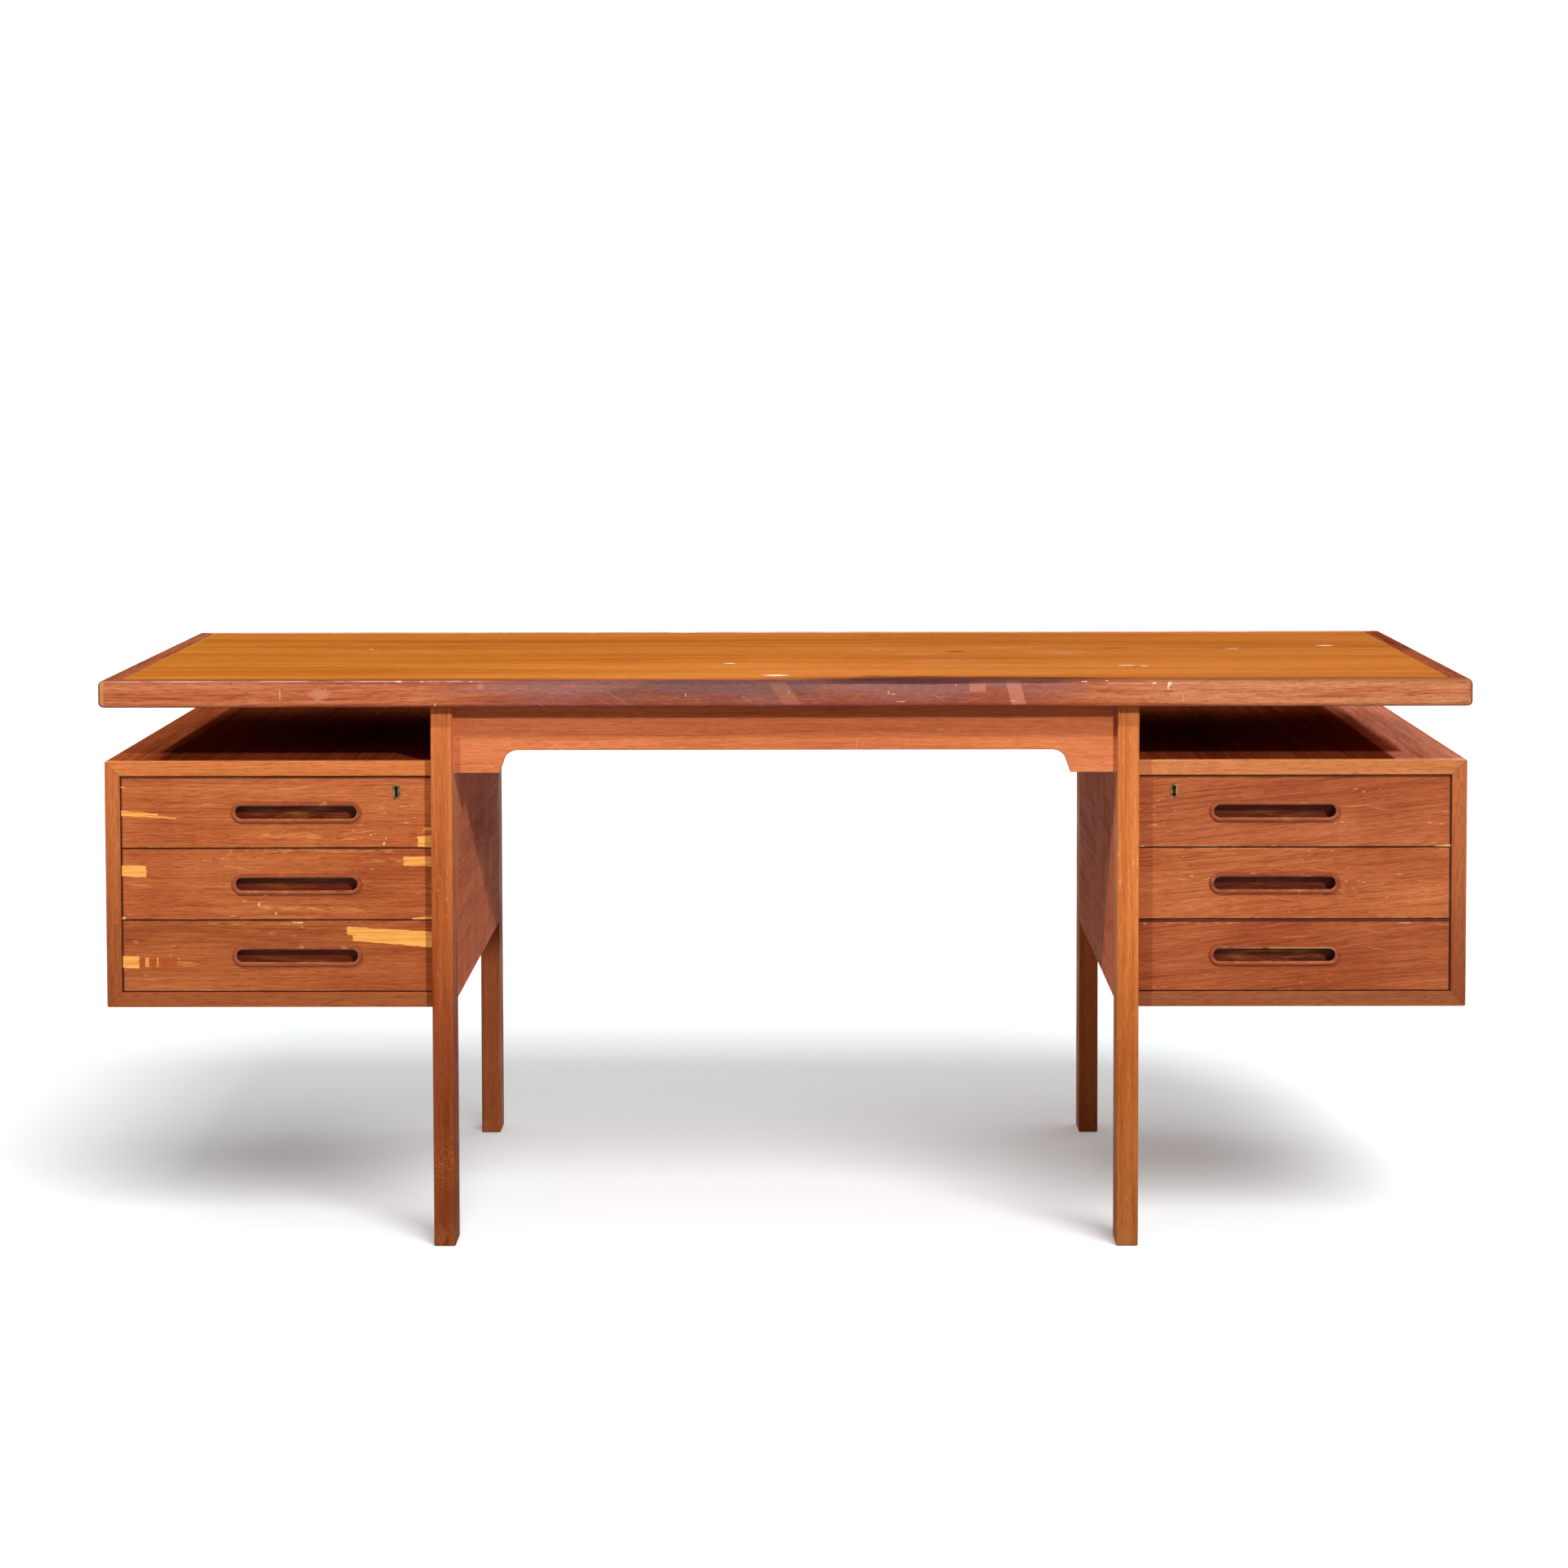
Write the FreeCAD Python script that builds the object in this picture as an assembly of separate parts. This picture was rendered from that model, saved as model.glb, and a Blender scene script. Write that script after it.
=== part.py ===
import FreeCAD, Part
import math
import os

from FreeCAD import Vector

# Executive desk with a floating top, two pedestals hung between its legs, and six drawers.
# Millimetres. +Z is up, -Y is the sitter's side and +X is the sitter's right.
# The origin is on the floor under the middle of the top.
# Everything on one side is made for +X, and the other side is its mirror image.

# The whole desk
desk_length = 1800
desk_depth = 840
desk_height = 754

# Top: a veneered board with solid lippings, mitred at the corners
top_thickness = 35
lipping_width = 28
top_corner_radius = 12
top_edge_radius = 6

# Legs
kneehole_width = 875
leg_width = 28.5
leg_depth = 62
leg_edge_radius = 2.5
leg_foot_radius = 2
top_overhang = 25

# Aprons, across the kneehole at the front and the back, with dropped ends
apron_thickness = 20
apron_height = 60
apron_setback = 12.5
apron_end_drop = 30
apron_end_width = 61
apron_curve_radius = 20
apron_curve_angle = 71
apron_edge_radius = 1

# Side rails under the top, and the panel below each of them
rail_height = 60
panel_raise = 6
panel_edge_radius = 1

# Pedestal cases
pedestal_gap = 75
pedestal_height = 328
pedestal_setback = 22
pedestal_inset = 0
board_thickness = 20
edging_depth = 8
case_corner_radius = 2.5
edging_edge_radius = 1.2
partition_thickness = 12

# Open niche at the back of each pedestal
niche_depth = 286
shelf_thickness = 18
shelf_rise = 130
shelf_end_gap = 1
shelf_setback = 4
pin_radius = 2.5
pin_hole_depth = 9
pin_reach = 9
pin_pad_height = 3
pin_pad_width = 7
pin_inset = 60

# Drawers, named from the top down
level_names = ("top", "middle", "bottom")
drawer_count = len(level_names)
drawer_gap = 1
front_thickness = 18
front_recess = 2
front_edge_radius = 0.8
side_thickness = 13
side_drop = 9
side_rise = 3
back_thickness = 12
back_drop = 6
box_bottom_thickness = 5
box_bottom_rise = 9
box_groove_depth = 5
box_rear_gap = 6
tail_count = 3
tail_depth = 12
tail_width = 12
tail_flare = 2

# Runners, which the grooved drawer sides hang on
runner_height = 16
runner_reach = 7
runner_front_gap = 1
runner_groove_depth = 6.5
runner_clearance = 0.3

# Drawer pulls, an oblong cup with a raised lip
pull_length = 172
pull_height = 28
pull_lip_width = 5.5
pull_proud = 3.5
pull_lip_depth = 8
pull_undercut = 1.8
pull_recess_depth = 21
pull_back_thickness = 3.5
pull_edge_radius = 2.2
pull_offset = 26
pull_fit = 0.05

# Locks of the two top drawers
lock_from_leg = 48
lock_width = 40
lock_height = 32
lock_depth = 10
lock_plate_width = 52
lock_plate_thickness = 2
lock_pin_radius = 1
lock_pin_length = 6
bolt_width = 12
bolt_thickness = 3.4
bolt_height = 14
bolt_sunk = 0.3
bolt_clearance = 0.3
bolt_mortice_depth = 8
bolt_mortice_clearance = 1

# Keyholes, each a brass thimble let into the drawer front
keyhole_drop = 20
escutcheon_width = 10.5
escutcheon_height = 21
escutcheon_thickness = 1.5
escutcheon_proud = 0.3
keyhole_top_radius = 2.8
keyhole_top_rise = 4.5
keyhole_waist_width = 3.6
keyhole_foot_radius = 2.4
keyhole_foot_fall = 5.2

# Dowels
dowel_radius = 4
dowel_half_length = 16
dowel_fit = 0.1
apron_dowel_shares = (0.25, 0.75)
rail_dowel_shares = (0.28, 0.72)
panel_dowel_shares = (0.1, 0.5, 0.9)
case_dowel_shares = (0.1, 0.5, 0.9)

# Blocks that hold the top down, each with one screw
block_length = 45
block_thickness = 20
block_height = 25
block_spacing = 300
block_count = 3
screw_radius = 2.1
screw_head_radius = 4
screw_head_height = 2.5
screw_bite = 20
screw_point = 5
screw_slot_width = 1
screw_slot_depth = 1.2
screw_fit = 0.1

# How far a cut runs past what it cuts, and how close an edge lies to a plane it is on
overrun = 1
tolerance = 0.001

# Places that follow from the sizes
half_length = desk_length / 2
half_depth = desk_depth / 2
top_underside = desk_height - top_thickness
leg_inner_x = kneehole_width / 2
leg_outer_x = leg_inner_x + leg_width
leg_front_y = top_overhang - half_depth
leg_back_y = leg_front_y + leg_depth
apron_bottom = top_underside - apron_height
rail_bottom = top_underside - rail_height
case_outer_x = half_length - pedestal_inset
case_wall_x = case_outer_x - board_thickness
case_front_y = leg_front_y + pedestal_setback
case_back_y = -case_front_y
case_top = top_underside - pedestal_gap
case_bottom = case_top - pedestal_height
case_ceiling = case_top - board_thickness
case_floor = case_bottom + board_thickness
panel_bottom = case_bottom + panel_raise
niche_front_y = case_back_y - niche_depth
partition_front_y = niche_front_y - partition_thickness
shelf_underside = case_floor + shelf_rise
front_y = case_front_y + front_recess
front_back_y = front_y + front_thickness
front_inner_x = leg_outer_x + drawer_gap
front_outer_x = case_wall_x - drawer_gap
front_height = (case_ceiling - case_floor - drawer_gap * (drawer_count + 1)) / drawer_count
box_end_y = partition_front_y - box_rear_gap
runner_front_y = front_back_y + runner_front_gap
pull_x = (front_inner_x + front_outer_x) / 2 - pull_offset
pull_front_y = front_y - pull_proud
lock_x = leg_outer_x + lock_from_leg
lock_front_y = front_back_y - lock_depth
bolt_y = front_back_y - lock_depth / 2

side_names = ("left", "right")

ORIGIN = Vector(0, 0, 0)
X_AXIS = Vector(1, 0, 0)
Y_AXIS = Vector(0, 1, 0)
Z_AXIS = Vector(0, 0, 1)


# Shapes


def box(x0, x1, y0, y1, z0, z1):
    return Part.makeBox(x1 - x0, y1 - y0, z1 - z0, Vector(x0, y0, z0))


def rod(radius, start, axis, length):
    return Part.makeCylinder(radius, length, start, axis)


def prism_xy(points, z0, z1):
    """A prism along Z on an outline of (x, y) points."""
    corners = [Vector(x, y, z0) for x, y in points]
    return Part.Face(Part.makePolygon(corners + corners[:1])).extrude(Vector(0, 0, z1 - z0))


def prism_xz(points, y0, y1):
    """A prism along Y on an outline of (x, z) points."""
    corners = [Vector(x, y0, z) for x, z in points]
    return Part.Face(Part.makePolygon(corners + corners[:1])).extrude(Vector(0, y1 - y0, 0))


def prism_yz(points, x0, x1):
    """A prism along X on an outline of (y, z) points."""
    corners = [Vector(x0, y, z) for y, z in points]
    return Part.Face(Part.makePolygon(corners + corners[:1])).extrude(Vector(x1 - x0, 0, 0))


def oblong(x, z, length, height, y0, y1):
    """A bar along Y with half-round ends, centred on (x, z)."""
    radius = height / 2
    reach = length / 2 - radius
    bar = box(x - reach, x + reach, y0, y1, z - radius, z + radius)
    ends = [rod(radius, Vector(x + side * reach, y0, z), Y_AXIS, y1 - y0) for side in (-1, 1)]
    return bar.fuse(ends).removeSplitter()


def upright_oblong(x, z, width, height, y0, y1):
    bar = oblong(x, z, height, width, y0, y1)
    return bar.rotate(Vector(x, y0, z), Y_AXIS, 90)


def edges_on(shape, axis, value):
    """The edges that lie in the plane where the axis has this value."""
    low, high = axis + "Min", axis + "Max"
    found = []
    for edge in shape.Edges:
        bounds = edge.BoundBox
        if abs(getattr(bounds, low) - value) < tolerance and abs(getattr(bounds, high) - value) < tolerance:
            found.append(edge)
    return found


def without(edges, others):
    return [edge for edge in edges if not any(edge.isSame(other) for other in others)]


def upright_edges(shape):
    return [edge for edge in shape.Edges if edge.BoundBox.ZLength > shape.BoundBox.ZLength - tolerance]


def cut(shape, tools):
    return shape.cut(tools) if tools else shape


def other_side(shape):
    return shape.mirror(ORIGIN, X_AXIS)


def other_end(shape):
    return shape.mirror(ORIGIN, Y_AXIS)


def one(shape):
    """The only solid in a shape."""
    return shape.Solids[0]


# Dowels and the holes that they sit in


def dowel(centre, axis):
    start = centre - axis * dowel_half_length
    return rod(dowel_radius, start, axis, 2 * dowel_half_length)


def dowel_hole(centre, axis):
    half = dowel_half_length + dowel_fit
    return rod(dowel_radius + dowel_fit, centre - axis * half, axis, 2 * half)


def between(low, high, share):
    return low + (high - low) * share


def apron_dowel_centres():
    y = leg_front_y + apron_setback + apron_thickness / 2
    low = apron_bottom - apron_end_drop
    return [Vector(leg_inner_x, y, between(low, top_underside, share)) for share in apron_dowel_shares]


def side_frame_dowel_centres():
    x = leg_inner_x + leg_width / 2
    heights = [between(rail_bottom, top_underside, share) for share in rail_dowel_shares]
    heights += [between(panel_bottom, rail_bottom, share) for share in panel_dowel_shares]
    return [Vector(x, leg_back_y, z) for z in heights]


def case_dowel_centres():
    """Where the ends of the case's top and bottom boards meet the inner panel."""
    top_z = (case_top + case_ceiling) / 2
    bottom_z = (case_floor + panel_bottom) / 2
    ys = [between(leg_back_y, -leg_back_y, share) for share in case_dowel_shares]
    return [Vector(leg_outer_x, y, z) for z in (top_z, bottom_z) for y in ys]


def frame_dowel_set(make):
    """Dowels, or their holes, in the joints of the right-hand legs."""
    front = [make(centre, X_AXIS) for centre in apron_dowel_centres()]
    front += [make(centre, Y_AXIS) for centre in side_frame_dowel_centres()]
    return front + [other_end(shape) for shape in front]


def case_dowel_set(make):
    return [make(centre, X_AXIS) for centre in case_dowel_centres()]


# Top


def top_slab():
    slab = box(-half_length, half_length, -half_depth, half_depth, top_underside, desk_height)
    slab = slab.makeFillet(top_corner_radius, upright_edges(slab))
    faces = edges_on(slab, "Z", top_underside) + edges_on(slab, "Z", desk_height)
    return slab.makeFillet(top_edge_radius, faces)


def top_pieces():
    """The board and its four lippings."""
    x0, y0 = half_length, half_depth
    x1, y1 = half_length - lipping_width, half_depth - lipping_width
    outlines = {
        "top_panel": [(-x1, -y1), (x1, -y1), (x1, y1), (-x1, y1)],
        "top_lipping_front": [(-x0, -y0), (x0, -y0), (x1, -y1), (-x1, -y1)],
        "top_lipping_back": [(-x0, y0), (x0, y0), (x1, y1), (-x1, y1)],
        "top_lipping_left": [(-x0, -y0), (-x1, -y1), (-x1, y1), (-x0, y0)],
        "top_lipping_right": [(x0, -y0), (x1, -y1), (x1, y1), (x0, y0)],
    }
    slab = top_slab()
    pieces = {}
    for name, outline in outlines.items():
        pieces[name] = one(slab.common(prism_xy(outline, top_underside, desk_height)))
    pieces["top_panel"] = one(cut(pieces["top_panel"], [screw_hole(x, y) for x, y in screw_places()]))
    return pieces


# Blocks and screws under the top


def screw_places():
    y = leg_front_y + apron_setback + apron_thickness + block_thickness / 2
    xs = [block_spacing * (i - (block_count - 1) / 2) for i in range(block_count)]
    return [(x, side * y) for side in (1, -1) for x in xs]


def screw_hole(x, y):
    start = Vector(x, y, top_underside - block_height)
    return rod(screw_radius + screw_fit, start, Z_AXIS, block_height + screw_bite + screw_fit)


def screw(x, y):
    """A countersunk screw that points up, with a slotted head."""
    foot = top_underside - block_height
    shank_length = block_height + screw_bite - screw_point
    head = Part.makeCone(screw_head_radius, screw_radius, screw_head_height, Vector(x, y, foot), Z_AXIS)
    shank = rod(screw_radius, Vector(x, y, foot), Z_AXIS, shank_length)
    point = Part.makeCone(screw_radius, 0, screw_point, Vector(x, y, foot + shank_length), Z_AXIS)
    slot = box(
        x - screw_head_radius, x + screw_head_radius,
        y - screw_slot_width / 2, y + screw_slot_width / 2,
        foot - overrun, foot + screw_slot_depth,
    )
    return one(shank.fuse([head, point]).cut(slot))


def fixing_block(x, y):
    block = box(
        x - block_length / 2, x + block_length / 2,
        y - block_thickness / 2, y + block_thickness / 2,
        top_underside - block_height, top_underside,
    )
    sink_radius = screw_head_radius + screw_fit
    sink_start = Vector(x, y, top_underside - block_height)
    sink = Part.makeCone(sink_radius, screw_radius + screw_fit, screw_head_height, sink_start, Z_AXIS)
    return one(block.cut([screw_hole(x, y), sink]))


# Legs, aprons, side rails and inner panels


def leg_front():
    leg = box(leg_inner_x, leg_outer_x, leg_front_y, leg_back_y, 0, top_underside)
    leg = leg.makeFillet(leg_edge_radius, upright_edges(leg))
    leg = leg.makeFillet(leg_foot_radius, edges_on(leg, "Z", 0))
    return one(cut(leg, frame_dowel_set(dowel_hole)))


def apron_outline(y):
    """The apron's face: its dropped ends rise in a straight slope, and then in a round curve."""
    angle = math.radians(apron_curve_angle)
    low = apron_bottom - apron_end_drop
    curve_fall = apron_curve_radius * (1 - math.cos(angle))
    curve_run = apron_curve_radius * math.sin(angle)
    end_x = leg_inner_x - apron_end_width
    slope_x = end_x - (apron_end_drop - curve_fall) / math.tan(angle)
    slope_z = apron_bottom - curve_fall
    flat_x = slope_x - curve_run
    half_run = apron_curve_radius * math.sin(angle / 2)
    half_fall = apron_curve_radius * (1 - math.cos(angle / 2))

    def at(x, z):
        return Vector(x, y, z)

    edges = []
    for side in (1, -1):
        corners = [at(0, top_underside), at(side * leg_inner_x, top_underside), at(side * leg_inner_x, low)]
        corners += [at(side * end_x, low), at(side * slope_x, slope_z)]
        edges += [Part.makeLine(a, b) for a, b in zip(corners, corners[1:])]
        middle = at(side * (flat_x + half_run), apron_bottom - half_fall)
        edges.append(Part.Arc(corners[-1], middle, at(side * flat_x, apron_bottom)).toShape())
    edges.append(Part.makeLine(at(flat_x, apron_bottom), at(-flat_x, apron_bottom)))
    return Part.Face(Part.Wire(Part.__sortEdges__(edges)))


def apron_front():
    face_y = leg_front_y + apron_setback
    apron = apron_outline(face_y).extrude(Vector(0, apron_thickness, 0)).removeSplitter()
    fixed = edges_on(apron, "Z", top_underside)
    fixed += edges_on(apron, "X", leg_inner_x) + edges_on(apron, "X", -leg_inner_x)
    free = without(edges_on(apron, "Y", face_y) + edges_on(apron, "Y", face_y + apron_thickness), fixed)
    apron = one(apron).makeFillet(apron_edge_radius, free)
    holes = [dowel_hole(centre, X_AXIS) for centre in apron_dowel_centres()]
    return one(cut(apron, holes + [other_side(hole) for hole in holes]))


def side_rail():
    rail = box(leg_inner_x, leg_outer_x, leg_back_y, -leg_back_y, rail_bottom, top_underside)
    return one(cut(rail, frame_dowel_set(dowel_hole)))


def inner_panel():
    panel = box(leg_inner_x, leg_outer_x, leg_back_y, -leg_back_y, panel_bottom, rail_bottom)
    lower = edges_on(panel, "Z", panel_bottom)
    ends = edges_on(panel, "Y", leg_back_y) + edges_on(panel, "Y", -leg_back_y)
    panel = panel.makeFillet(panel_edge_radius, without(lower, ends))
    holes = frame_dowel_set(dowel_hole) + case_dowel_set(dowel_hole) + pin_holes()
    return one(cut(panel, holes))


# Pedestal cases


def case_ring(y0, y1):
    """The case's top, outer side and bottom in one, open towards the legs."""
    outer = box(leg_outer_x, case_outer_x, y0, y1, case_bottom, case_top)
    long_edges = [edge for edge in edges_on(outer, "X", case_outer_x) if edge.BoundBox.YLength > tolerance]
    outer = outer.makeFillet(case_corner_radius, long_edges)
    return outer.cut(box(leg_outer_x - overrun, case_wall_x, y0 - overrun, y1 + overrun, case_floor, case_ceiling))


def mitred(ring, y0, y1):
    """The ring's three boards, mitred where they meet."""
    regions = {
        "top": [(leg_outer_x, case_top), (case_outer_x, case_top),
                (case_wall_x, case_ceiling), (leg_outer_x, case_ceiling)],
        "side": [(case_outer_x, case_top), (case_outer_x, case_bottom),
                 (case_wall_x, case_floor), (case_wall_x, case_ceiling)],
        "bottom": [(case_outer_x, case_bottom), (leg_outer_x, case_bottom),
                   (leg_outer_x, case_floor), (case_wall_x, case_floor)],
    }
    return {name: one(ring.common(prism_xz(points, y0, y1))) for name, points in regions.items()}


def case_boards():
    y0 = case_front_y + edging_depth
    y1 = case_back_y - edging_depth
    boards = mitred(case_ring(y0, y1), y0, y1)
    holes = case_dowel_set(dowel_hole)
    boards["top"] = one(cut(boards["top"], holes + [bolt_mortice()]))
    boards["bottom"] = one(cut(boards["bottom"], holes))
    boards["side"] = one(cut(boards["side"], pin_holes()))
    return boards


def case_edging():
    """Solid edging on the front and back edges of the case, mitred at the outer corners."""
    y0 = case_front_y
    y1 = case_front_y + edging_depth
    ring = case_ring(y0, y1)
    ring = ring.makeFillet(edging_edge_radius, without(edges_on(ring, "Y", y0), edges_on(ring, "X", leg_outer_x)))
    front = [one(piece.cut(bolt_mortice())) for piece in mitred(ring, y0, y1).values()]
    back = [other_end(piece) for piece in mitred(ring, y0, y1).values()]
    return Part.makeCompound(front + back)


def partition():
    return box(leg_outer_x, case_wall_x, partition_front_y, niche_front_y, case_floor, case_ceiling)


# The niche's shelf and its pins


def shelf():
    y0 = niche_front_y + shelf_end_gap
    y1 = case_back_y - shelf_setback
    board = box(
        leg_outer_x + shelf_end_gap, case_wall_x - shelf_end_gap, y0, y1,
        shelf_underside, shelf_underside + shelf_thickness,
    )
    return board.makeFillet(panel_edge_radius, without(edges_on(board, "Y", y1), edges_on(board, "Y", y0)))


def pin_places():
    """The wall's face, the way out of it, and the pin's y, for each pin of one shelf."""
    ys = (niche_front_y + pin_inset, case_back_y - pin_inset)
    return [(x, out, y) for x, out in ((leg_outer_x, 1), (case_wall_x, -1)) for y in ys]


def pin_axis_z():
    return shelf_underside - pin_pad_height / 2


def pin_holes():
    z = pin_axis_z()
    depth = pin_hole_depth + dowel_fit
    return [rod(pin_radius + dowel_fit, Vector(x, y, z), X_AXIS * -out, depth) for x, out, y in pin_places()]


def shelf_pin(x, out, y):
    z = pin_axis_z()
    stem = rod(pin_radius, Vector(x - out * pin_hole_depth, y, z), X_AXIS * out, pin_hole_depth)
    pad = box(
        min(x, x + out * pin_reach), max(x, x + out * pin_reach),
        y - pin_pad_width / 2, y + pin_pad_width / 2,
        shelf_underside - pin_pad_height, shelf_underside,
    )
    return one(stem.fuse(pad))


# Drawers, counted from the top


def drawer_z(level):
    """The height of the underside of a drawer's front."""
    return case_floor + drawer_gap + (drawer_count - 1 - level) * (front_height + drawer_gap)


def side_span(level):
    """The lowest and highest point of a drawer's sides."""
    z = drawer_z(level)
    return z + side_rise, z + front_height - side_drop


def runner_z(level):
    """The height of the middle of a drawer's runners."""
    return sum(side_span(level)) / 2


def runners():
    strips = []
    for level in range(drawer_count):
        z0 = runner_z(level) - runner_height / 2
        z1 = runner_z(level) + runner_height / 2
        strips.append(box(leg_outer_x, leg_outer_x + runner_reach, runner_front_y, partition_front_y, z0, z1))
        strips.append(box(case_wall_x - runner_reach, case_wall_x, runner_front_y, partition_front_y, z0, z1))
    return Part.makeCompound(strips)


def tails(level, x0, x1):
    """The dovetails on the front end of one side, which fit sockets in the drawer's front."""
    low, high = side_span(level)
    pitch = (high - low) / tail_count
    tip_y = front_back_y - tail_depth
    shapes = []
    for i in range(tail_count):
        z = low + pitch * (i + 1 / 2)
        neck = tail_width / 2
        tip = neck + tail_flare
        outline = [(front_back_y, z - neck), (front_back_y, z + neck), (tip_y, z + tip), (tip_y, z - tip)]
        shapes.append(prism_yz(outline, x0, x1))
    return shapes


def box_sides_x():
    """The inner and outer face of each side, from the leg outwards."""
    return (
        (front_inner_x, front_inner_x + side_thickness),
        (front_outer_x - side_thickness, front_outer_x),
    )


def box_bottom(level):
    z0 = side_span(level)[0] + box_bottom_rise
    x0 = front_inner_x + side_thickness - box_groove_depth
    x1 = front_outer_x - side_thickness + box_groove_depth
    return box(x0, x1, front_back_y - box_groove_depth, box_end_y, z0, z0 + box_bottom_thickness)


def runner_grooves(level):
    half = runner_height / 2 + runner_clearance
    z = runner_z(level)
    x0 = front_inner_x
    x1 = front_outer_x
    return [
        box(x0 - overrun, x0 + runner_groove_depth, front_back_y, box_end_y + overrun, z - half, z + half),
        box(x1 - runner_groove_depth, x1 + overrun, front_back_y, box_end_y + overrun, z - half, z + half),
    ]


def drawer_box(level):
    """Two grooved and dovetailed sides, a back, and a thin bottom let into the sides and the front."""
    low, high = side_span(level)
    bottom = box_bottom(level)
    pieces = [bottom]
    for x0, x1 in box_sides_x():
        side = box(x0, x1, front_back_y, box_end_y, low, high).fuse(tails(level, x0, x1)).removeSplitter()
        pieces.append(one(side.cut(runner_grooves(level) + [bottom])))
    back = box(
        front_inner_x + side_thickness, front_outer_x - side_thickness,
        box_end_y - back_thickness, box_end_y, bottom.BoundBox.ZMax, high - back_drop,
    )
    return Part.makeCompound(pieces + [back])


def drawer_front(level):
    z = drawer_z(level)
    front = box(front_inner_x, front_outer_x, front_y, front_back_y, z, z + front_height)
    front = front.makeFillet(front_edge_radius, edges_on(front, "Y", front_y))
    hole_length = pull_length + 2 * pull_fit
    hole_height = pull_height + 2 * pull_fit
    hole_y = front_y - overrun, front_back_y + overrun
    tools = [oblong(pull_x, z + front_height / 2, hole_length, hole_height, *hole_y), box_bottom(level)]
    for x0, x1 in box_sides_x():
        tools += tails(level, x0, x1)
    if level == 0:
        tools += lock_cuts()
    return one(front.cut(tools))


def drawer_pull(level):
    """An oblong cup in the front, with a rounded lip and a recess that widens behind it."""
    z = drawer_z(level) + front_height / 2
    end_y = pull_front_y + pull_recess_depth + pull_back_thickness
    mouth = pull_length - 2 * pull_lip_width, pull_height - 2 * pull_lip_width
    cavity = mouth[0] + 2 * pull_undercut, mouth[1] + 2 * pull_undercut
    cup = oblong(pull_x, z, pull_length, pull_height, pull_front_y, end_y)
    cup = cup.cut(oblong(pull_x, z, *mouth, pull_front_y - overrun, pull_front_y + pull_recess_depth))
    cup = one(cup).makeFillet(pull_edge_radius, edges_on(cup, "Y", pull_front_y))
    recess_y = pull_front_y + pull_lip_depth, pull_front_y + pull_recess_depth
    return one(cup.cut(oblong(pull_x, z, *cavity, *recess_y)))


# Locks


def lock_top():
    """The upper edge of the top drawer's front, which the lock's plate lies flush with."""
    return drawer_z(0) + front_height


def lock_body():
    """The lock's case and its plate, without the space for the bolt."""
    z = lock_top()
    half = lock_width / 2
    half_plate = lock_plate_width / 2
    case = box(lock_x - half, lock_x + half, lock_front_y, front_back_y, z - lock_height, z)
    plate = box(
        lock_x - half_plate, lock_x + half_plate, lock_front_y, front_back_y, z - lock_plate_thickness, z,
    )
    return case.fuse(plate).removeSplitter()


def bolt_bar(x_room, y_room, z0, z1):
    """A bar on the bolt's place, wider than the bolt by the given room on each side."""
    half_x = bolt_width / 2 + x_room
    half_y = bolt_thickness / 2 + y_room
    return box(lock_x - half_x, lock_x + half_x, bolt_y - half_y, bolt_y + half_y, z0, z1)


def bolt():
    top = lock_top() - bolt_sunk
    return bolt_bar(0, 0, top - bolt_height, top)


def bolt_mortice():
    room = bolt_mortice_clearance
    return bolt_bar(room, room, case_ceiling - drawer_gap, case_ceiling + bolt_mortice_depth)


def lock_case():
    low = lock_top() - bolt_sunk - bolt_height - bolt_clearance
    channel = bolt_bar(bolt_clearance, bolt_clearance, low, lock_top() + overrun)
    pin_z = lock_top() - keyhole_drop + keyhole_top_rise
    pin = rod(lock_pin_radius, Vector(lock_x, lock_front_y, pin_z), -Y_AXIS, lock_pin_length)
    return one(lock_body().cut(channel).fuse(pin))


def lock_cuts():
    """The lock's pocket, the thimble's seat and the way between them for the key."""
    z = lock_top() - keyhole_drop
    seat_y = front_y + escutcheon_thickness - escutcheon_proud
    seat = upright_oblong(lock_x, z, escutcheon_width, escutcheon_height, front_y - overrun, seat_y)
    way_width = 2 * keyhole_top_radius
    way_height = keyhole_top_rise + keyhole_foot_fall + keyhole_top_radius + keyhole_foot_radius
    way_z = z + (keyhole_top_rise + keyhole_top_radius - keyhole_foot_fall - keyhole_foot_radius) / 2
    way = upright_oblong(lock_x, way_z, way_width, way_height, front_y, lock_front_y + overrun)
    return [lock_body(), seat, way]


def escutcheon():
    z = lock_top() - keyhole_drop
    y0 = front_y - escutcheon_proud
    y1 = y0 + escutcheon_thickness
    width = escutcheon_width - 2 * pull_fit
    height = escutcheon_height - 2 * pull_fit
    thimble = upright_oblong(lock_x, z, width, height, y0, y1)
    depth = escutcheon_thickness + 2 * overrun
    start_y = y0 - overrun
    half_waist = keyhole_waist_width / 2
    keyhole = [
        rod(keyhole_top_radius, Vector(lock_x, start_y, z + keyhole_top_rise), Y_AXIS, depth),
        rod(keyhole_foot_radius, Vector(lock_x, start_y, z - keyhole_foot_fall), Y_AXIS, depth),
        box(
            lock_x - half_waist, lock_x + half_waist, start_y, start_y + depth,
            z - keyhole_foot_fall, z + keyhole_top_rise,
        ),
    ]
    return one(thimble.cut(keyhole))


# The whole desk, node by node


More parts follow.
